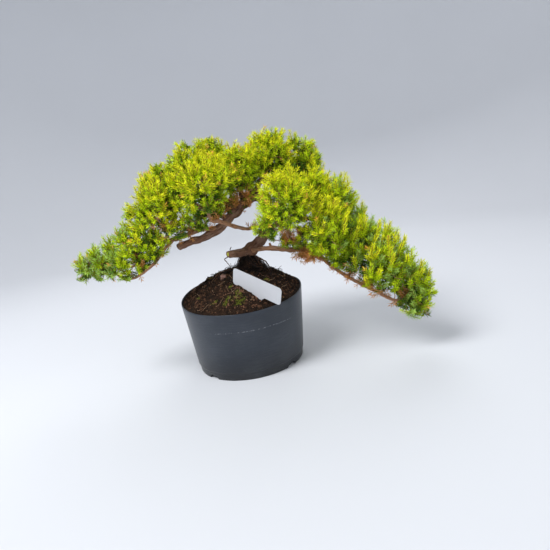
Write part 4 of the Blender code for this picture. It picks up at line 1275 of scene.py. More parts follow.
def make_plain(name, first, second, scale, roughness=0.85, depth=0.0002, specular=0.25):
    """Small bits of two tones, with a fine grain."""
    look = Finish(name, roughness, specular)
    tone = look.patches(scale, 3.0, 0.65, 0.35, 0.65)
    fine = look.noise(look.place, scale * 6.0, 2.0, 0.6)
    return look.wear(look.mix(tone, first, second), roughness - 0.1 + fine * 0.2, fine, depth)


def make_bark(name, main, flake, furrow_and_shade, scale):
    """Bark in long plates along the limb: dark furrows, partly painted shade, grey flakes and reddish skin
    between.
    """
    look = Finish(name, 0.8, 0.3)
    grain = look.node("ShaderNodeAttribute", {"attribute_name": "grain"}, {}, "Vector")
    plates = look.noise(look.stretched(grain, (1.0, 1.0, 0.16)), 520.0 * scale, 4.0, 0.62, 0.4)
    fibres = look.noise(look.stretched(grain, (1.0, 1.0, 0.07)), 1500.0 * scale, 3.0, 0.7)
    patches = look.noise(look.place, 90.0, 3.0, 0.6)
    flaking = look.ramp(plates * 0.5 + patches * 0.5, (0.49, 0.0), (0.57, 1.0))
    furrow = look.ramp(plates, (0.33, 1.0), (0.44, 0.0))
    skin = look.mix(fibres, tinted(main, 0.55), tinted(main, 1.6))
    skin = look.mix(flaking * (fibres * 0.6 + 0.3), skin, flake)
    # The furrows take their dark colour, partly the bark's own and partly painted shade.
    return look.wear(
        look.mix(furrow * 0.85, skin, furrow_and_shade), 0.68 + plates * 0.25, plates * 1.2 + fibres * 0.6, 0.0009
    )


def make_cut(wood):
    """A pruned face: greenish sapwood with a darker rim of bark and rings of growth."""
    look = Finish("cut_wood", 0.6, 0.35)
    about = look.node("ShaderNodeMapping", {}, {"Vector": look.place, "Location": (0.006, 0.022, -0.144)})
    out = look.node("ShaderNodeVectorMath", {"operation": "LENGTH"}, {0: about}, "Value")
    rings = look.math("SINE", out * 9000.0)
    rough = look.noise(look.place, 900.0, 3.0, 0.6)
    rim = look.ramp(out * 320.0 + rough * 0.3, (0.78, 0.0), (1.05, 1.0))
    face = look.mix((rings * 0.12 + rough * 0.7).clamp(), wood.cut, tinted(wood.cut, 1.7))
    return look.wear(look.mix(rim, face, wood.bark), 0.5 + rough * 0.3, rough + rings * 0.15, 0.0003)


def make_needles(name, shade):
    """Needles of one tint, varying a little from shoot to shoot, with a soft waxy sheen."""
    look = Finish("needles_" + name, 0.5, 0.14)
    dark = tinted(shade, 1.0 - TINT_SPREAD)
    light = [min(1.0, value) for value in tinted(shade, 1.0 + TINT_SPREAD)]
    tone = look.mix(look.patches(130.0, 2.0, 0.5, 0.36, 0.64), dark, light)
    fine = look.noise(look.place, 900.0, 2.0, 0.5)
    waxy = look.ramp(fine, (0.60, 0.0), (0.72, 1.0)) * 0.22
    return look.wear(look.mix(waxy, tone, WAX), 0.46 + fine * 0.22)


# Operators

class BuildPot(bpy.types.Operator):
    """The tapered pot with its slanted rim, recessed foot and drain notches, and its label"""
    bl_idname = "bonsai.pot"
    bl_label = "Pot and Label"

    def execute(self, context):
        pot = context.scene.bonsai_pot
        add_piece("pot_shell", pot_mesh(pot), ["pot"], make_plastic(pot))
        add_piece("label_plate", label_mesh(), ["label"], make_label(pot))
        return {"FINISHED"}


POT_STEPS = 180
NOTCHES = 4
FIRST_NOTCH = math.radians(-132)
DIP_ANGLE = math.radians(52)
DIP_WIDTH = math.radians(30)
DIP_DEPTH = 4.5
NOTCH_WIDTH = 13.0
NOTCH_HEIGHT = 4.5
FOOT_HEIGHT = 9.0
FOOT_STEP = 1.0
FLOOR_HEIGHT = 2.0
SOLE_RADIUS = 66.4
SOLE_RISE = 1.6
INSIDE_SHARES = (0.0, 0.3, 0.62, 0.88, 0.985)
OUTSIDE_SHARES = (0.93, 0.85, 0.72, 0.58, 0.45, 0.33, 0.22, 0.14)
# The step down to the foot and the rounded edge under it: height and how far in
FOOT_PROFILE = (
    (10.6, 0.0), (10.0, 0.12), (9.4, 0.55), (9.0, 1.0), (8.0, FOOT_STEP), (6.0, FOOT_STEP), (4.4, FOOT_STEP),
    (2.4, FOOT_STEP), (0.7, FOOT_STEP), (0.12, FOOT_STEP + 0.2), (0.0, FOOT_STEP + 0.9),
)


def wall_radius(pot, height):
    """Outer radius of the tapered wall at a height, in millimetres."""
    base, rim = pot.base_radius / MM, pot.rim_radius / MM
    return base + (rim - base) * height / (pot.rim_height / MM)


def rim_level(pot, angle):
    """Height of the cut rim round the pot: a slant with the small waver of a hand-held knife."""
    waver = 0.3 * math.sin(3.0 * angle + 0.6) + 0.2 * math.sin(7.0 * angle + 1.9)
    return pot.rim_height / MM + pot.rim_slant / MM * math.sin(angle) - 0.6 + waver - rim_dip(angle)


def rim_dip(angle):
    """How far the knife has dipped at the back on the right."""
    off = (angle - DIP_ANGLE + math.pi) % (2.0 * math.pi) - math.pi
    return DIP_DEPTH * math.exp(-(off / DIP_WIDTH) ** 2)


def notch_share(angle):
    """How far into a drain notch an angle lies: 1 inside, 0 outside."""
    half = 0.5 * NOTCH_WIDTH / BASE_RADIUS
    nearest = min(
        abs((angle - FIRST_NOTCH - 2.0 * math.pi * index / NOTCHES + math.pi) % (2.0 * math.pi) - math.pi)
        for index in range(NOTCHES)
    )
    return max(0.0, min(1.0, (half - nearest) / 0.02 + 0.5))


def wall_ring(pot, share, inset, floor=0.0):
    """A ring of the cup, at a share of the way from a floor to the cut rim."""
    def rule(angle):
        height = floor + (rim_level(pot, angle) - floor) * share
        foot = FOOT_STEP if height < FOOT_HEIGHT else 0.0
        ripple = 0.12 * math.sin(5.0 * angle + 0.05 * height)
        return wall_radius(pot, height) - inset - foot + ripple * min(1.0, share), height
    return ring(POT_STEPS, rule)


def foot_ring(pot, height, inset):
    """A level ring near the foot, raised over the drain notches."""
    radius = wall_radius(pot, height) - inset
    raised = NOTCH_HEIGHT - height if height < NOTCH_HEIGHT + 0.5 else 0.0
    return ring(POT_STEPS, lambda angle: (radius, height + raised * notch_share(angle)))


def pot_mesh(pot):
    """A closed thin-walled cup, ring by ring from the floor inside, over the rim and down."""
    wall = pot.wall / MM
    rings = [wall_ring(pot, share, wall, FLOOR_HEIGHT) for share in INSIDE_SHARES]
    for share, inset in ((1.0, wall - 0.35), (1.004, 0.7), (1.0, 0.35), (0.985, 0.0)):
        rings.append(wall_ring(pot, share, inset))
    rings += [wall_ring(pot, share, 0.0) for share in OUTSIDE_SHARES]
    rings += [foot_ring(pot, height, inset) for height, inset in FOOT_PROFILE]
    rings.append(ring(POT_STEPS, lambda angle: (SOLE_RADIUS, NOTCH_HEIGHT * notch_share(angle))))
    rings += [flat_ring(POT_STEPS, radius, SOLE_RISE) for radius in (64.0, 20.0)]
    return mesh_from(lofted(rings), "pot_shell")


LABEL_HALF_WIDTH = 35.0
LABEL_HEIGHT = 21.5
LABEL_CORNER = 4.0
LABEL_THICKNESS = 0.8
LABEL_BEVEL = 0.16
LABEL_STEM = ((40.0, 0.0), (30.0, 6.0), (8.0, 7.5), (3.0, 9.5), (0.0, 13.0))
LABEL_FOOT = (20.7, -57.2, 99.0)
LABEL_ALONG = (0.739, -0.584, -0.339)
LABEL_UP = (0.205, -0.31, 0.928)


def label_mesh():
    """A wide-headed label on a pointed stem, with softened edges."""
    half = [(width, -depth) for depth, width in LABEL_STEM]
    for height, first in ((LABEL_CORNER, -90), (LABEL_HEIGHT - LABEL_CORNER, 0)):
        for step in range(10):
            angle = math.radians(first + 10.0 * step)
            half.append((LABEL_HALF_WIDTH - LABEL_CORNER + LABEL_CORNER * math.cos(angle),
                         height + LABEL_CORNER * math.sin(angle)))
    outline = half + [(-x, y) for x, y in reversed(half[1:])]
    bm = bmesh.new()
    face = bm.faces.new([bm.verts.new((x, y, -0.5 * LABEL_THICKNESS)) for x, y in outline])
    raised = bmesh.ops.extrude_face_region(bm, geom=[face])
    top = [item for item in raised["geom"] if isinstance(item, bmesh.types.BMVert)]
    bmesh.ops.translate(bm, vec=(0.0, 0.0, LABEL_THICKNESS), verts=top)
    rims = [edge for edge in bm.edges if len(edge.link_faces) == 2 and edge.calc_face_angle() > 1.2]
    bmesh.ops.bevel(bm, geom=rims, offset=LABEL_BEVEL, segments=2, affect="EDGES")
    bmesh.ops.triangulate(bm, faces=[face for face in bm.faces if len(face.verts) > 4])
    bmesh.ops.recalc_face_normals(bm, faces=bm.faces)
    along = Vector(LABEL_ALONG).normalized()
    out = along.cross(Vector(LABEL_UP)).normalized()
    up = out.cross(along)
    for vert in bm.verts:
        x, y, z = vert.co
        vert.co = Vector(LABEL_FOOT) + along * x + up * y + out * z
    return mesh_from(bm, "label_plate", smooth=False)


class BuildSoil(bpy.types.Operator):
    """The mound of potting soil with its crumbs, chips, fibres and moss"""
    bl_idname = "bonsai.soil"
    bl_label = "Soil and Moss"

    def execute(self, context):
        pot, soil = context.scene.bonsai_pot, context.scene.bonsai_soil
        mound = soil_mesh(pot)
        scatter_soil(mound, soil)
        add_straws(soil)
        add_piece("soil_mound", mound, ["soil"], make_soil(soil))
        add_root_knob(soil)
        return {"FINISHED"}


SOIL_STEPS = 220
SOIL_RINGS = 84
SOIL_DROP = 3.0
MOUND_PEAK = 121.0
MOUND_CENTRE = (8.0, 6.0)
MOUND_POWER = 1.8
LUMP_HEIGHT = 1.6
SOIL_FOOT = (66.5, 12.0)
OPEN_RADIUS = 73.0
KNOB_PLACE = (-18.0, -15.0)
KNOB_RADIUS = 4.4
STRAWS = 60
# Moss: middle and radius of each patch
MOSS_PATCHES = (
    (1, -59, 6.0), (-11, -57, 3.6), (-14, -61, 3.2), (-9, -40, 3.0), (0, -51, 3.4), (-37, 9, 4.0),
    (-28, -53, 2.6), (-50, -30, 2.4), (34, -30, 3.0), (-30, 30, 5.0), (10, 50, 6.0), (52, 20, 4.0),
)


def soil_height(x, y):
    """Height of the mound, with shallow lumps, in millimetres."""
    share = math.hypot(x, y) / RIM_RADIUS
    off_x, off_y = x - MOUND_CENTRE[0] * (1.0 - share), y - MOUND_CENTRE[1] * (1.0 - share)
    from_peak = math.hypot(off_x, off_y) / RIM_RADIUS
    edge = RIM_HEIGHT - SOIL_DROP + RIM_SLANT * y / RIM_RADIUS - rim_dip(math.atan2(y, x)) * share
    swell = max(0.0, 1.0 - from_peak ** MOUND_POWER)
    lumps = math.sin(0.21 * x + 0.8) * math.sin(0.17 * y + 2.0) + 0.6 * math.sin(0.33 * x - 0.29 * y)
    return edge + (MOUND_PEAK - edge) * swell + LUMP_HEIGHT * lumps * min(1.0, 3.0 * (1.0 - share))


def crumbly(x, y):
    """Small relief of the soil's surface."""
    place = Vector((x, y, 0.0))
    coarse = noise.fractal(place * 0.11, 0.9, 2.1, 4)
    cells = noise.voronoi(place * 0.28)[0]
    fine = noise.noise(place * 0.9)
    return 1.3 * coarse + 1.9 * (0.42 - cells[0]) + 0.35 * fine


def soil_ring(pot, share):
    """A crumbly ring of the mound's surface, at a share of the way out to the wall."""
    def rule(angle):
        edge = RIM_HEIGHT - SOIL_DROP + RIM_SLANT * math.sin(angle) - rim_dip(angle)
        radius = (wall_radius(pot, edge) - pot.wall / MM - 0.25) * share
        x, y = radius * math.cos(angle), radius * math.sin(angle)
        return radius, soil_height(x, y) + crumbly(x, y) * min(1.0, 6.0 * (1.0 - share) + 0.35)
    return ring(SOIL_STEPS, rule)


def soil_mesh(pot):
    """A crumbly mound on a closed fill that goes down inside the pot."""
    rings = [soil_ring(pot, step / SOIL_RINGS) for step in range(SOIL_RINGS, 0, -1)]
    return mesh_from(lofted([flat_ring(SOIL_STEPS, *SOIL_FOOT)] + rings), "soil_mound")


def lump_bmesh(radius, seed, subdivisions=1):
    """An angular crumb."""
    chance = random.Random(seed)
    bm = bmesh.new()
    bmesh.ops.create_icosphere(bm, subdivisions=subdivisions, radius=radius)
    for vert in bm.verts:
        vert.co *= chance.uniform(0.72, 1.25)
    return bm


def chip_bmesh(length, width, thickness, seed):
    """A flat splinter of bark with a broken outline."""
    chance = random.Random(seed)
    count = 8
    outline = []
    for index in range(count):
        angle = 2.0 * math.pi * index / count
        reach = chance.uniform(0.75, 1.1)
        outline.append((0.5 * length * math.cos(angle) * reach, 0.5 * width * math.sin(angle) * reach))
    rings = [[(x * side, y * side, z) for x, y in outline]
             for side, z in ((0.8, -0.5 * thickness), (1.0, 0.0), (0.75, 0.5 * thickness))]
    return lofted(rings)


def share_mesh(mound, rule):
    """A copy of the mound's top whose share attribute says where things lie."""
    bm = bmesh.new()
    bm.from_mesh(mound)
    low = [face for face in bm.faces if face.normal.z < 0.2 or face.calc_center_median().z < 0.06]
    bmesh.ops.delete(bm, geom=low, context="FACES")
    copy = bpy.data.meshes.new("ground")
    bm.to_mesh(copy)
    bm.free()
    store_values(copy, "share", [rule(vert.co.x / MM, vert.co.y / MM) for vert in copy.vertices])
    return copy


def moss_share(x, y):
    """1 in the middle of a moss patch, nothing outside."""
    wobble = 1.0 + 0.55 * noise.noise(Vector((x * 0.35, y * 0.35, 3.0)))
    patchy = max(0.0, min(1.0, 0.45 + 1.9 * noise.noise(Vector((x * 0.42, y * 0.42, 9.0)))))
    return patchy * max(
        max(0.0, 1.0 - (math.hypot(x - patch_x, y - patch_y) / (1.25 * radius * wobble)) ** 2)
        for patch_x, patch_y, radius in MOSS_PATCHES
    )


def open_share(x, y):
    """Loose bits lie everywhere but against the wall."""
    return 1.0 if math.hypot(x, y) < OPEN_RADIUS else 0.0


def front_share(x, y):
    """More chips have rolled down to the front of the mound."""
    return open_share(x, y) * (0.45 + 0.55 * rise(-y, 0.0, 50.0))


def scatter_soil(mound, soil):
    """Crumbs, chips and moss over the mound."""
    shape = scatter_shape()
    crumb = make_plain("soil_crumb", soil.dark, soil.brown, 500.0, 0.95, 0.0006, 0.1)
    brown = make_plain("soil_brown", soil.brown, tinted(soil.brown, 2.6), 500.0, 0.95, 0.0006, 0.1)
    chip = make_plain("bark_chip", tinted(soil.chip, 0.6), soil.chip, 420.0)
    pale = make_plain("pale_chip", soil.chip, soil.pale_chip, 420.0)
    moss = make_plain("moss", tinted(soil.moss, 0.5), tinted(soil.moss, 1.9), 350.0)
    # Name, material, pattern, where, how many a square metre, smallest and largest share, how upright
    kinds = (
        ("crumbs_dark", crumb, lump_bmesh(1.0, 3), open_share, 160000.0, 0.35, 1.15, 0.0),
        ("crumbs_brown", brown, lump_bmesh(1.0, 5), open_share, 42000.0, 0.3, 1.6, 0.0),
        ("chips_bark", chip, chip_bmesh(5.6, 2.6, 0.9, 7), front_share, 19000.0, 0.28, 0.95, 0.72),
        ("chips_pale", pale, chip_bmesh(4.2, 1.5, 0.5, 9), front_share, 7500.0, 0.3, 0.9, 0.7),
        ("moss_tufts", moss, needle_bmesh(2.0, 0.8), moss_share, 7000000.0, 0.45, 1.1, 0.6),
    )
    for index, (name, material, pattern, rule, density, small, large, upright) in enumerate(kinds):
        grain = pattern_object(name + "_pattern", pattern)
        mesh = shape.run(
            share_mesh(mound, rule), name, Density=density, Smallest=small, Largest=large, Upright=upright,
            Seed=SEED + index, Grain=grain, Material=material
        )
        bpy.data.meshes.remove(grain.data)
        add_piece(name, mesh)


def add_straws(soil):
    """Thin curved straws that lie on the mound."""
    straws = []
    chance = random.Random(SEED + 60)
    for _ in range(STRAWS):
        angle, out = chance.uniform(0.0, 2.0 * math.pi), 70.0 * math.sqrt(chance.random())
        place = Vector((out * math.cos(angle), out * math.sin(angle)))
        heading = chance.uniform(0.0, math.pi)
        length = chance.uniform(4.0, 13.0)
        line = []
        for step in range(5):
            at = place + Vector((math.cos(heading), math.sin(heading))) * length * (step / 4.0 - 0.5)
            heading += chance.uniform(-0.25, 0.25)
            if at.length < OPEN_RADIUS:
                line.append((at.x, at.y, soil_height(at.x, at.y) + 1.1 + chance.uniform(-0.4, 0.5), 0.19))
        if len(line) > 2:
            straws.append(line)
    straw = make_plain("straw", soil.chip, soil.pale_chip, 300.0)
    mesh = run_lines(tube_shape(), "straws", straws, Spacing=0.0015, Sides=5, Material=straw)
    add_piece("straws", mesh)


def add_root_knob(soil):
    """The knob of an old root that stands out of the mound at the left."""
    lump = lump_bmesh(KNOB_RADIUS, 31, 3)
    bmesh.ops.smooth_vert(lump, verts=lump.verts, factor=0.7)
    bmesh.ops.translate(lump, vec=(*KNOB_PLACE, soil_height(*KNOB_PLACE) + 1.0), verts=lump.verts)
    skin = make_plain("root_skin", tinted(soil.young_root, 1.6), (0.30, 0.17, 0.14), 190.0)
    add_piece("root_knob", mesh_from(lump, "root_knob"), (), skin)


class BuildWood(bpy.types.Operator):
    """The trunk, the boughs, the pruned stub and the roots, all in bark with relief"""
    bl_idname = "bonsai.wood"
    bl_label = "Trunk, Boughs and Roots"

    def execute(self, context):
        wood, soil = context.scene.bonsai_wood, context.scene.bonsai_soil
        limbs, _ = limb_routes(build_cells())
        tube = tube_shape()
        build_trunk(tube, limbs, wood)
        build_boughs(tube, limbs, wood)
        build_roots(tube, wood, soil)
        return {"FINISHED"}


def build_trunk(tube, limbs, wood):
    """The trunk with the arch bough in one run of bark, and the pruned stub with its face."""
    bark = make_bark("bark", wood.bark, wood.flake, wood.furrow_and_shade, 1.0)
    route = [point for point in limbs["trunk"] if point.z > ROOT_TOP] + limbs["arch_bough"][1:]
    route += rounded_end(route)
    trunk = []
    for x, y, z, radius in route:
        grow = 0.15 + 0.8 * rise(-x, 15.0, 35.0) if x < BOUGH_START else -0.5
        trunk.append((x, y, z, radius + grow))
    mesh = run_lines(tube, "trunk_bark", [trunk], Spacing=0.0006, Sides=72, Relief=wood.relief, Material=bark)
    add_piece("trunk_bark", mesh, ["trunk", "arch_bough"])
    stub = [tuple(point) for point in limbs["stub"]]
    relief = 0.45 * wood.relief
    mesh = run_lines(tube, "stub_bark", [stub], Spacing=0.0005, Sides=40, Relief=relief, Material=bark)
    add_piece("stub_bark", mesh, ["stub"])
    add_piece("stub_face", cut_face_mesh(stub), (), make_cut(wood))


def build_boughs(tube, limbs, wood):
    """All the other boughs and the spur on the low one, joined in one piece."""
    bark = make_bark("thin_bark", wood.twig, wood.flake, wood.furrow_and_shade, 1.6)
    names = [name for name, *_ in LIMBS if name not in ("trunk", "arch_bough", "stub")]
    thick, thin = [], []
    for name in names:
        grow = 0.5 if name == "low_bough" else 0.0
        line = [(x, y, z, radius + grow) for x, y, z, radius in limbs[name]]
        (thick if limbs[name][0].w > 3.0 else thin).append(line)
    thick.append(LOW_SPUR)
    meshes = []
    for lines, sides, share in ((thick, 26, 0.6), (thin, 18, 0.5)):
        relief = share * wood.relief
        meshes.append(
            run_lines(tube, "boughs", lines, Spacing=0.0010, Sides=sides, Relief=relief, Material=bark)
        )
    boughs = add_piece("boughs", join_meshes("boughs", meshes), names, bark)
    boughs.data.shade_smooth()


def rounded_end(route):
    """Points that close the end of a limb in a blunt dome."""
    tip, before = route[-1], route[-2]
    ahead = (tip.xyz - before.xyz).normalized()
    return [Vector((*(tip.xyz + ahead * distance), tip.w * share)) for share, distance in ROUNDED_END]


ROOT_TOP = 137.0
BOUGH_START = 13.0
LOW_SPUR = [(45.5, -15.5, 143.5, 1.9), (45.2, -14.0, 146.6, 1.6), (44.6, -13.2, 149.2, 1.1)]
CUT_WAY = (-0.50, -0.85, 0.12)
CUT_RADIUS = 3.9
CUT_STEPS = 36
# The cut face from its edge to its middle: share of the radius and how far it stands out
CUT_PROFILE = ((1.02, -0.6), (1.0, 0.15), (0.9, 0.35), (0.55, 0.5), (0.1, 0.55))


def cut_face_mesh(stub):
    """A shallow domed disc on the end of the stub."""
    end = Vector(stub[-1][:3])
    ahead = Vector(CUT_WAY).normalized()
    side = ahead.orthogonal().normalized()
    other = ahead.cross(side)
    rings = []
    for share, lift in CUT_PROFILE:
        points = []
        for step in range(CUT_STEPS):
            angle = 2.0 * math.pi * step / CUT_STEPS
            radius = CUT_RADIUS * share * (1.0 + 0.05 * math.sin(3.0 * angle) + 0.03 * math.sin(7.0 * angle))
            place = end + side * math.cos(angle) * radius + other * math.sin(angle) * radius
            points.append(place + ahead * lift)
        rings.append(points)
    return mesh_from(lofted(rings), "stub_face")


def root_line(chance, start_angle, reach, radius, wander):
    """A root from under the trunk, out over the others and down into the soil."""
    angle = start_angle
    top = chance.uniform(129.0, 140.0)
    inner = chance.uniform(2.0, 7.5)
    bulge = chance.uniform(-1.5, 4.5)
    line = []
    count = 10
    for step in range(count + 1):
        t = step / count
        angle += chance.uniform(-wander, wander) * (0.4 + t)
        out = inner + (reach - inner) * t ** 1.1 + bulge * math.sin(math.pi * t)
        x = 14.0 + 3.5 * t + out * math.cos(angle) * 1.12
        y = -1.0 + 2.0 * t + out * math.sin(angle) * 0.95
        ground = soil_height(x, y) - 1.6
        height = top + (ground - top) * t ** 0.9 + chance.uniform(-0.7, 0.7)
        line.append((x, y, height, radius * (1.0 - 0.35 * t)))
    return line


# Roots that stand apart from the mass, as knots (x, y, z, radius)
LOOSE_ROOTS = (
    ((22, 0, 134, 1.3), (28, 0, 130.5, 1.1), (33.4, 0, 127.6, 0.9), (38.5, 0, 121, 0.8), (41.6, 0, 112, 0.7)),
    ((24, 3, 128, 1.0), (28.9, 5, 121, 0.9), (32, 5, 118, 0.8), (37.5, 5, 110, 0.7)),
    ((25, -2, 130, 0.8), (31, -3, 124, 0.7), (33, -4, 119, 0.6), (39, -6, 113, 0.5)),
    ((23, 5, 131, 0.7), (33, 8, 125, 0.6), (36, 9, 118, 0.5), (46, 10, 113, 0.4)),
    ((6, -3, 137, 0.9), (-4, -4, 138.4, 0.7), (-13.6, -5, 136.4, 0.6), (-11, -7, 131, 0.5),
     (-7.2, -8, 124, 0.4)),
    ((6, -4, 121, 0.9), (-8, -5, 122.5, 0.8), (-22.7, -5, 119.9, 0.7), (-29, -5, 115, 0.6)),
    ((-4.6, -14, 147.7, 0.7), (-3.6, -14, 150, 0.6), (-1.9, -14.4, 151.6, 0.35)),
)


# Roots of the mass: name, how many, how far out, radius and how much they wander
ROOT_KINDS = (
    ("roots_thick", 15, (9.0, 17.0), (0.9, 1.7), 0.24), ("roots_young", 90, (8.0, 19.0), (0.35, 0.75), 0.42),
    ("roots_hair", 380, (8.0, 24.0), (0.12, 0.25), 0.75),
)
ROOT_CORE = ((19, 0, 139, 6.0), (16, 0, 133, 4.8), (15, 0, 125, 4.4), (17, 1, 113, 5.0))
STRAY_HAIRS = 260


def build_roots(tube, wood, soil):
    """The mass of exposed roots that holds the trunk above the soil."""
    chance = random.Random(SEED + 90)
    lines = {}
    for name, count, reach, radius, wander in ROOT_KINDS:
        lines[name] = []
        for index in range(count):
            if name == "roots_thick":
                angle = index * 2.0 * math.pi / count + chance.uniform(-0.3, 0.3)
            else:
                angle = chance.uniform(0.0, 2.0 * math.pi)
            out, girth = chance.uniform(*reach), chance.uniform(*radius)
            lines[name].append(root_line(chance, angle, out, girth, wander))
    lines["roots_thick"].append([tuple(point) for point in smooth_route(ROOT_CORE, 1.5)])
    for knots in LOOSE_ROOTS:
        line = []
        for x, y, z, radius in smooth_route(knots, 1.6):
            line.append((x + chance.uniform(-0.4, 0.4), y, z + chance.uniform(-0.4, 0.4), radius))
        lines["roots_young"].append(line)
    lines["roots_hair"] += [stray_hair(chance) for _ in range(STRAY_HAIRS)]
    old = make_bark("old_root", soil.root, soil.young_root, wood.furrow_and_shade, 2.0)
    red = make_bark("young_root", soil.young_root, soil.chip, soil.root, 2.0)
    for name, material, spacing, sides, relief in (
        ("roots_thick", old, 0.0008, 12, 0.4), ("roots_young", red, 0.0012, 6, 0.2),
        ("roots_hair", old, 0.0020, 3, 0.0),
    ):
        mesh = run_lines(tube, name, lines[name], Spacing=spacing, Sides=sides, Relief=relief * wood.relief,
                         Material=material)
        add_piece(name, mesh)


def stray_hair(chance):
    """A hair root that stands out of the soil on the upper part of the mound."""
    angle, out = chance.uniform(0.0, 2.0 * math.pi), chance.uniform(16.0, 52.0)
    x, y = MOUND_CENTRE[0] + out * math.cos(angle), MOUND_CENTRE[1] + out * math.sin(angle)
    across, deep = chance.uniform(-1.0, 1.0), chance.uniform(-1.0, 1.0)
    heading = Vector((across, deep, chance.uniform(0.3, 1.3))).normalized()
    place = Vector((x, y, soil_height(x, y) - 0.6))
    line = []
    radius = chance.uniform(0.18, 0.38)
    for _ in range(6):
        line.append((*place, radius))
        place = place + heading * 1.9
        heading = (heading + jog(chance, 0.4) - UP * 0.28).normalized()
    return line


class BuildFoliage(bpy.types.Operator):
    """The crown: twigs, shoots and needles of every tint"""
    bl_idname = "bonsai.foliage"
    bl_label = "Foliage"

    def execute(self, context):
        foliage, wood = context.scene.bonsai_foliage, context.scene.bonsai_wood
        cells = build_cells()
        limbs, stems = limb_routes(cells)
        grove = grow_foliage(limbs, stems, cells, foliage)
        masses = {}
        for name, _, heart, *_ in MASSES:
            masses.setdefault(region_of(heart), []).append(name)
        tube = tube_shape()
        add_needles(grove, masses, foliage)
        add_twigs(tube, grove, masses, stems, foliage, wood)
        return {"FINISHED"}


def add_needles(grove, masses, foliage):
    """The needles of each tint and region.  Those of the lime tint stand for the region's masses."""
    shape = needle_shape()
    tints = ("lime", "yellow", "green", "deep", "bluish", "tip", "dead")
    looks = {tint: make_needles(tint, getattr(foliage, tint)) for tint in tints}
    full = foliage.needle_length / MM
    width = foliage.needle_width * foliage.needle_length / MM
    for (region, tint), lines in sorted(grove.shoots.items()):
        name = f"needles_{tint}_{region}"
        broad = BROADER if tint == "deep" else 1.0
        pattern = pattern_object("pattern", needle_bmesh(NEEDLE_SHARES[region] * full, broad * width))
        mesh = run_lines(
            shape, name, lines, Spacing=foliage.whorl_spacing * broad, Seed=SEED, Needle=pattern,
            Material=looks[tint]
        )
        bpy.data.meshes.remove(pattern.data)
        stands_for = ["foliage_" + mass for mass in masses[region]] if tint == "lime" else ()
        add_piece(name, mesh, stands_for)


def add_twigs(tube, grove, masses, stems, foliage, wood):
    """The green stems of the shoots and the brown twigs that bear them, by region."""
    skin = make_plain("shoot_skin", foliage.stem, tinted(foliage.stem, 0.5), 300.0)
    bark = make_bark("twig_bark", wood.twig, wood.flake, wood.furrow_and_shade, 2.5)
    for region in sorted(masses):
        shoots, twigs = "shoots_" + region, "twigs_" + region
        mesh = run_lines(tube, shoots, grove.stems[region], Spacing=0.006, Sides=3, Material=skin)
        add_piece(shoots, mesh)
        inner = [[tuple(point) for point in stems[mass]] for mass in masses[region]]
        mesh = run_lines(tube, twigs, grove.twigs[region] + inner, Spacing=0.004, Sides=5, Material=bark)
        add_piece(twigs, mesh)


# Lamps: name, place, width and power
LAMPS = (
    ("key", (-0.9, -0.7, 1.6), 0.9, 34.0),
    ("fill", (1.4, -1.0, 0.9), 1.4, 6.0),
    ("back", (0.3, 1.2, 1.4), 1.2, 9.0),
)
LIT_POINT = Vector((0.0, 0.0, 0.15))
SKY = (0.84, 0.86, 0.89, 1.0)
SKY_STRENGTH = 0.50
CAMERA_PLACE = (0.0456, -0.5158, 0.2183)
CAMERA_PITCH = math.radians(12.34)
CAMERA_ROLL = math.radians(-8.38)
SENSOR = 36.0


class BuildStage(bpy.types.Operator):
    """The pale floor, the soft studio light and the camera"""
    bl_idname = "bonsai.stage"
    bl_label = "Floor, Light and Camera"

    def execute(self, context):
        scene, stage = context.scene, context.scene.bonsai_stage
        floor = bpy.data.objects.new("floor", cove_mesh())
        scene.collection.objects.link(floor)
        look = Finish("floor", 0.75, 0.2)
        soft = look.noise(look.place, 3.0, 2.0, 0.5)
        shade = look.mix(soft, stage.floor, tinted(stage.floor, 0.97))
        floor.data.materials.append(look.wear(shade, 0.7 + soft * 0.1))
        for lamp in LAMPS:
            add_lamp(scene, *lamp)
        world = bpy.data.worlds.new("studio")
        world.use_nodes = True
        sky = world.node_tree.nodes["Background"].inputs
        sky["Color"].default_value = SKY
        sky["Strength"].default_value = SKY_STRENGTH
        scene.world = world
        add_camera(scene, stage.lens)
        scene.view_settings.view_transform = "Standard"
        return {"FINISHED"}


def add_lamp(scene, name, place, width, power):
    """A round soft lamp turned to the plant."""
    light = bpy.data.lights.new(name, "AREA")
    light.shape = "DISK"
    light.size = width
    light.energy = power
    lamp = bpy.data.objects.new(name, light)
    lamp.location = place
    lamp.rotation_euler = (LIT_POINT - lamp.location).to_track_quat("-Z", "Y").to_euler()
    scene.collection.objects.link(lamp)


def add_camera(scene, lens):
    """The camera: a little above the plant, looking down and leaning to one side."""
    camera = bpy.data.objects.new("camera", bpy.data.cameras.new("camera"))
    camera.data.lens = lens
    camera.data.sensor_width = SENSOR
    camera.data.clip_start = 0.01
    scene.collection.objects.link(camera)
    ahead = Vector((0.0, math.cos(CAMERA_PITCH), -math.sin(CAMERA_PITCH)))
    above = Vector((0.0, math.sin(CAMERA_PITCH), math.cos(CAMERA_PITCH)))
    right = Vector((1.0, 0.0, 0.0))
    across = right * math.cos(CAMERA_ROLL) + above * math.sin(CAMERA_ROLL)
    over = -right * math.sin(CAMERA_ROLL) + above * math.cos(CAMERA_ROLL)
    turn = Matrix((across, over, -ahead)).transposed()
    camera.matrix_world = Matrix.Translation(CAMERA_PLACE) @ turn.to_4x4()
    scene.camera = camera


FLOOR_RADIUS = 1.3
COVE_RADIUS = 1.2
WALL_TOP = 2.2
COVE_STEPS = 120


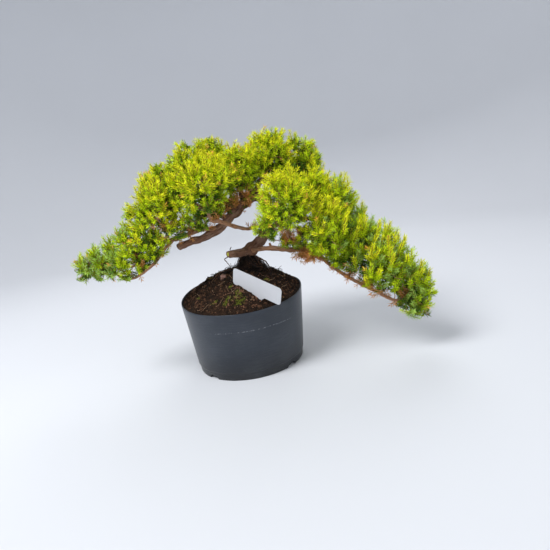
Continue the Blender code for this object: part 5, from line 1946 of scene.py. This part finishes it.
def cove_mesh():
    """A round floor that sweeps up all about into a low wall, so that no edge shows."""
    profile = [(0.02, 0.0), (0.6, 0.0), (FLOOR_RADIUS, 0.0)]
    for degrees in range(6, 91, 6):
        angle = math.radians(degrees)
        out, up = COVE_RADIUS * math.sin(angle), COVE_RADIUS - COVE_RADIUS * math.cos(angle)
        profile.append((FLOOR_RADIUS + out, up))
    profile.append((FLOOR_RADIUS + COVE_RADIUS, WALL_TOP))
    bm = bmesh.new()
    loops = [[bm.verts.new(point) for point in flat_ring(COVE_STEPS, *place)] for place in profile]
    bm.faces.new(loops[0])
    for here, there in zip(loops, loops[1:]):
        for index in range(COVE_STEPS):
            after = (index + 1) % COVE_STEPS
            bm.faces.new((here[index], there[index], there[after], here[after]))
    mesh = bpy.data.meshes.new("floor")
    bm.to_mesh(mesh)
    bm.free()
    mesh.shade_smooth()
    return mesh


class BonsaiPanel(bpy.types.Panel):
    """Lists the pieces of the bonsai"""
    bl_idname = "VIEW3D_PT_bonsai"
    bl_label = "Juniper Bonsai"
    bl_space_type = "VIEW_3D"
    bl_region_type = "UI"
    bl_category = "Bonsai"

    def draw(self, context):
        for operator in OPERATORS:
            self.layout.operator(operator.bl_idname)
        for name in SETTINGS:
            group = getattr(context.scene, name)
            box = self.layout.box()
            for key in type(group).__annotations__:
                box.prop(group, key)


OPERATORS = (BuildPot, BuildSoil, BuildWood, BuildFoliage, BuildStage)
SETTINGS = {
    "bonsai_pot": PotSettings, "bonsai_soil": SoilSettings, "bonsai_wood": WoodSettings,
    "bonsai_foliage": FoliageSettings, "bonsai_stage": StageSettings,
}


def register():
    for item in (*SETTINGS.values(), *OPERATORS, BonsaiPanel):
        bpy.utils.register_class(item)
    for name, group in SETTINGS.items():
        setattr(bpy.types.Scene, name, bpy.props.PointerProperty(type=group))


def unregister():
    for name in SETTINGS:
        delattr(bpy.types.Scene, name)
    for item in reversed((*SETTINGS.values(), *OPERATORS, BonsaiPanel)):
        bpy.utils.unregister_class(item)


def main():
    """Builds everything in order."""
    register()
    bpy.ops.bonsai.pot()
    bpy.ops.bonsai.soil()
    bpy.ops.bonsai.wood()
    bpy.ops.bonsai.foliage()
    bpy.ops.bonsai.stage()
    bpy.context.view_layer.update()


if __name__ == "__main__":
    main()
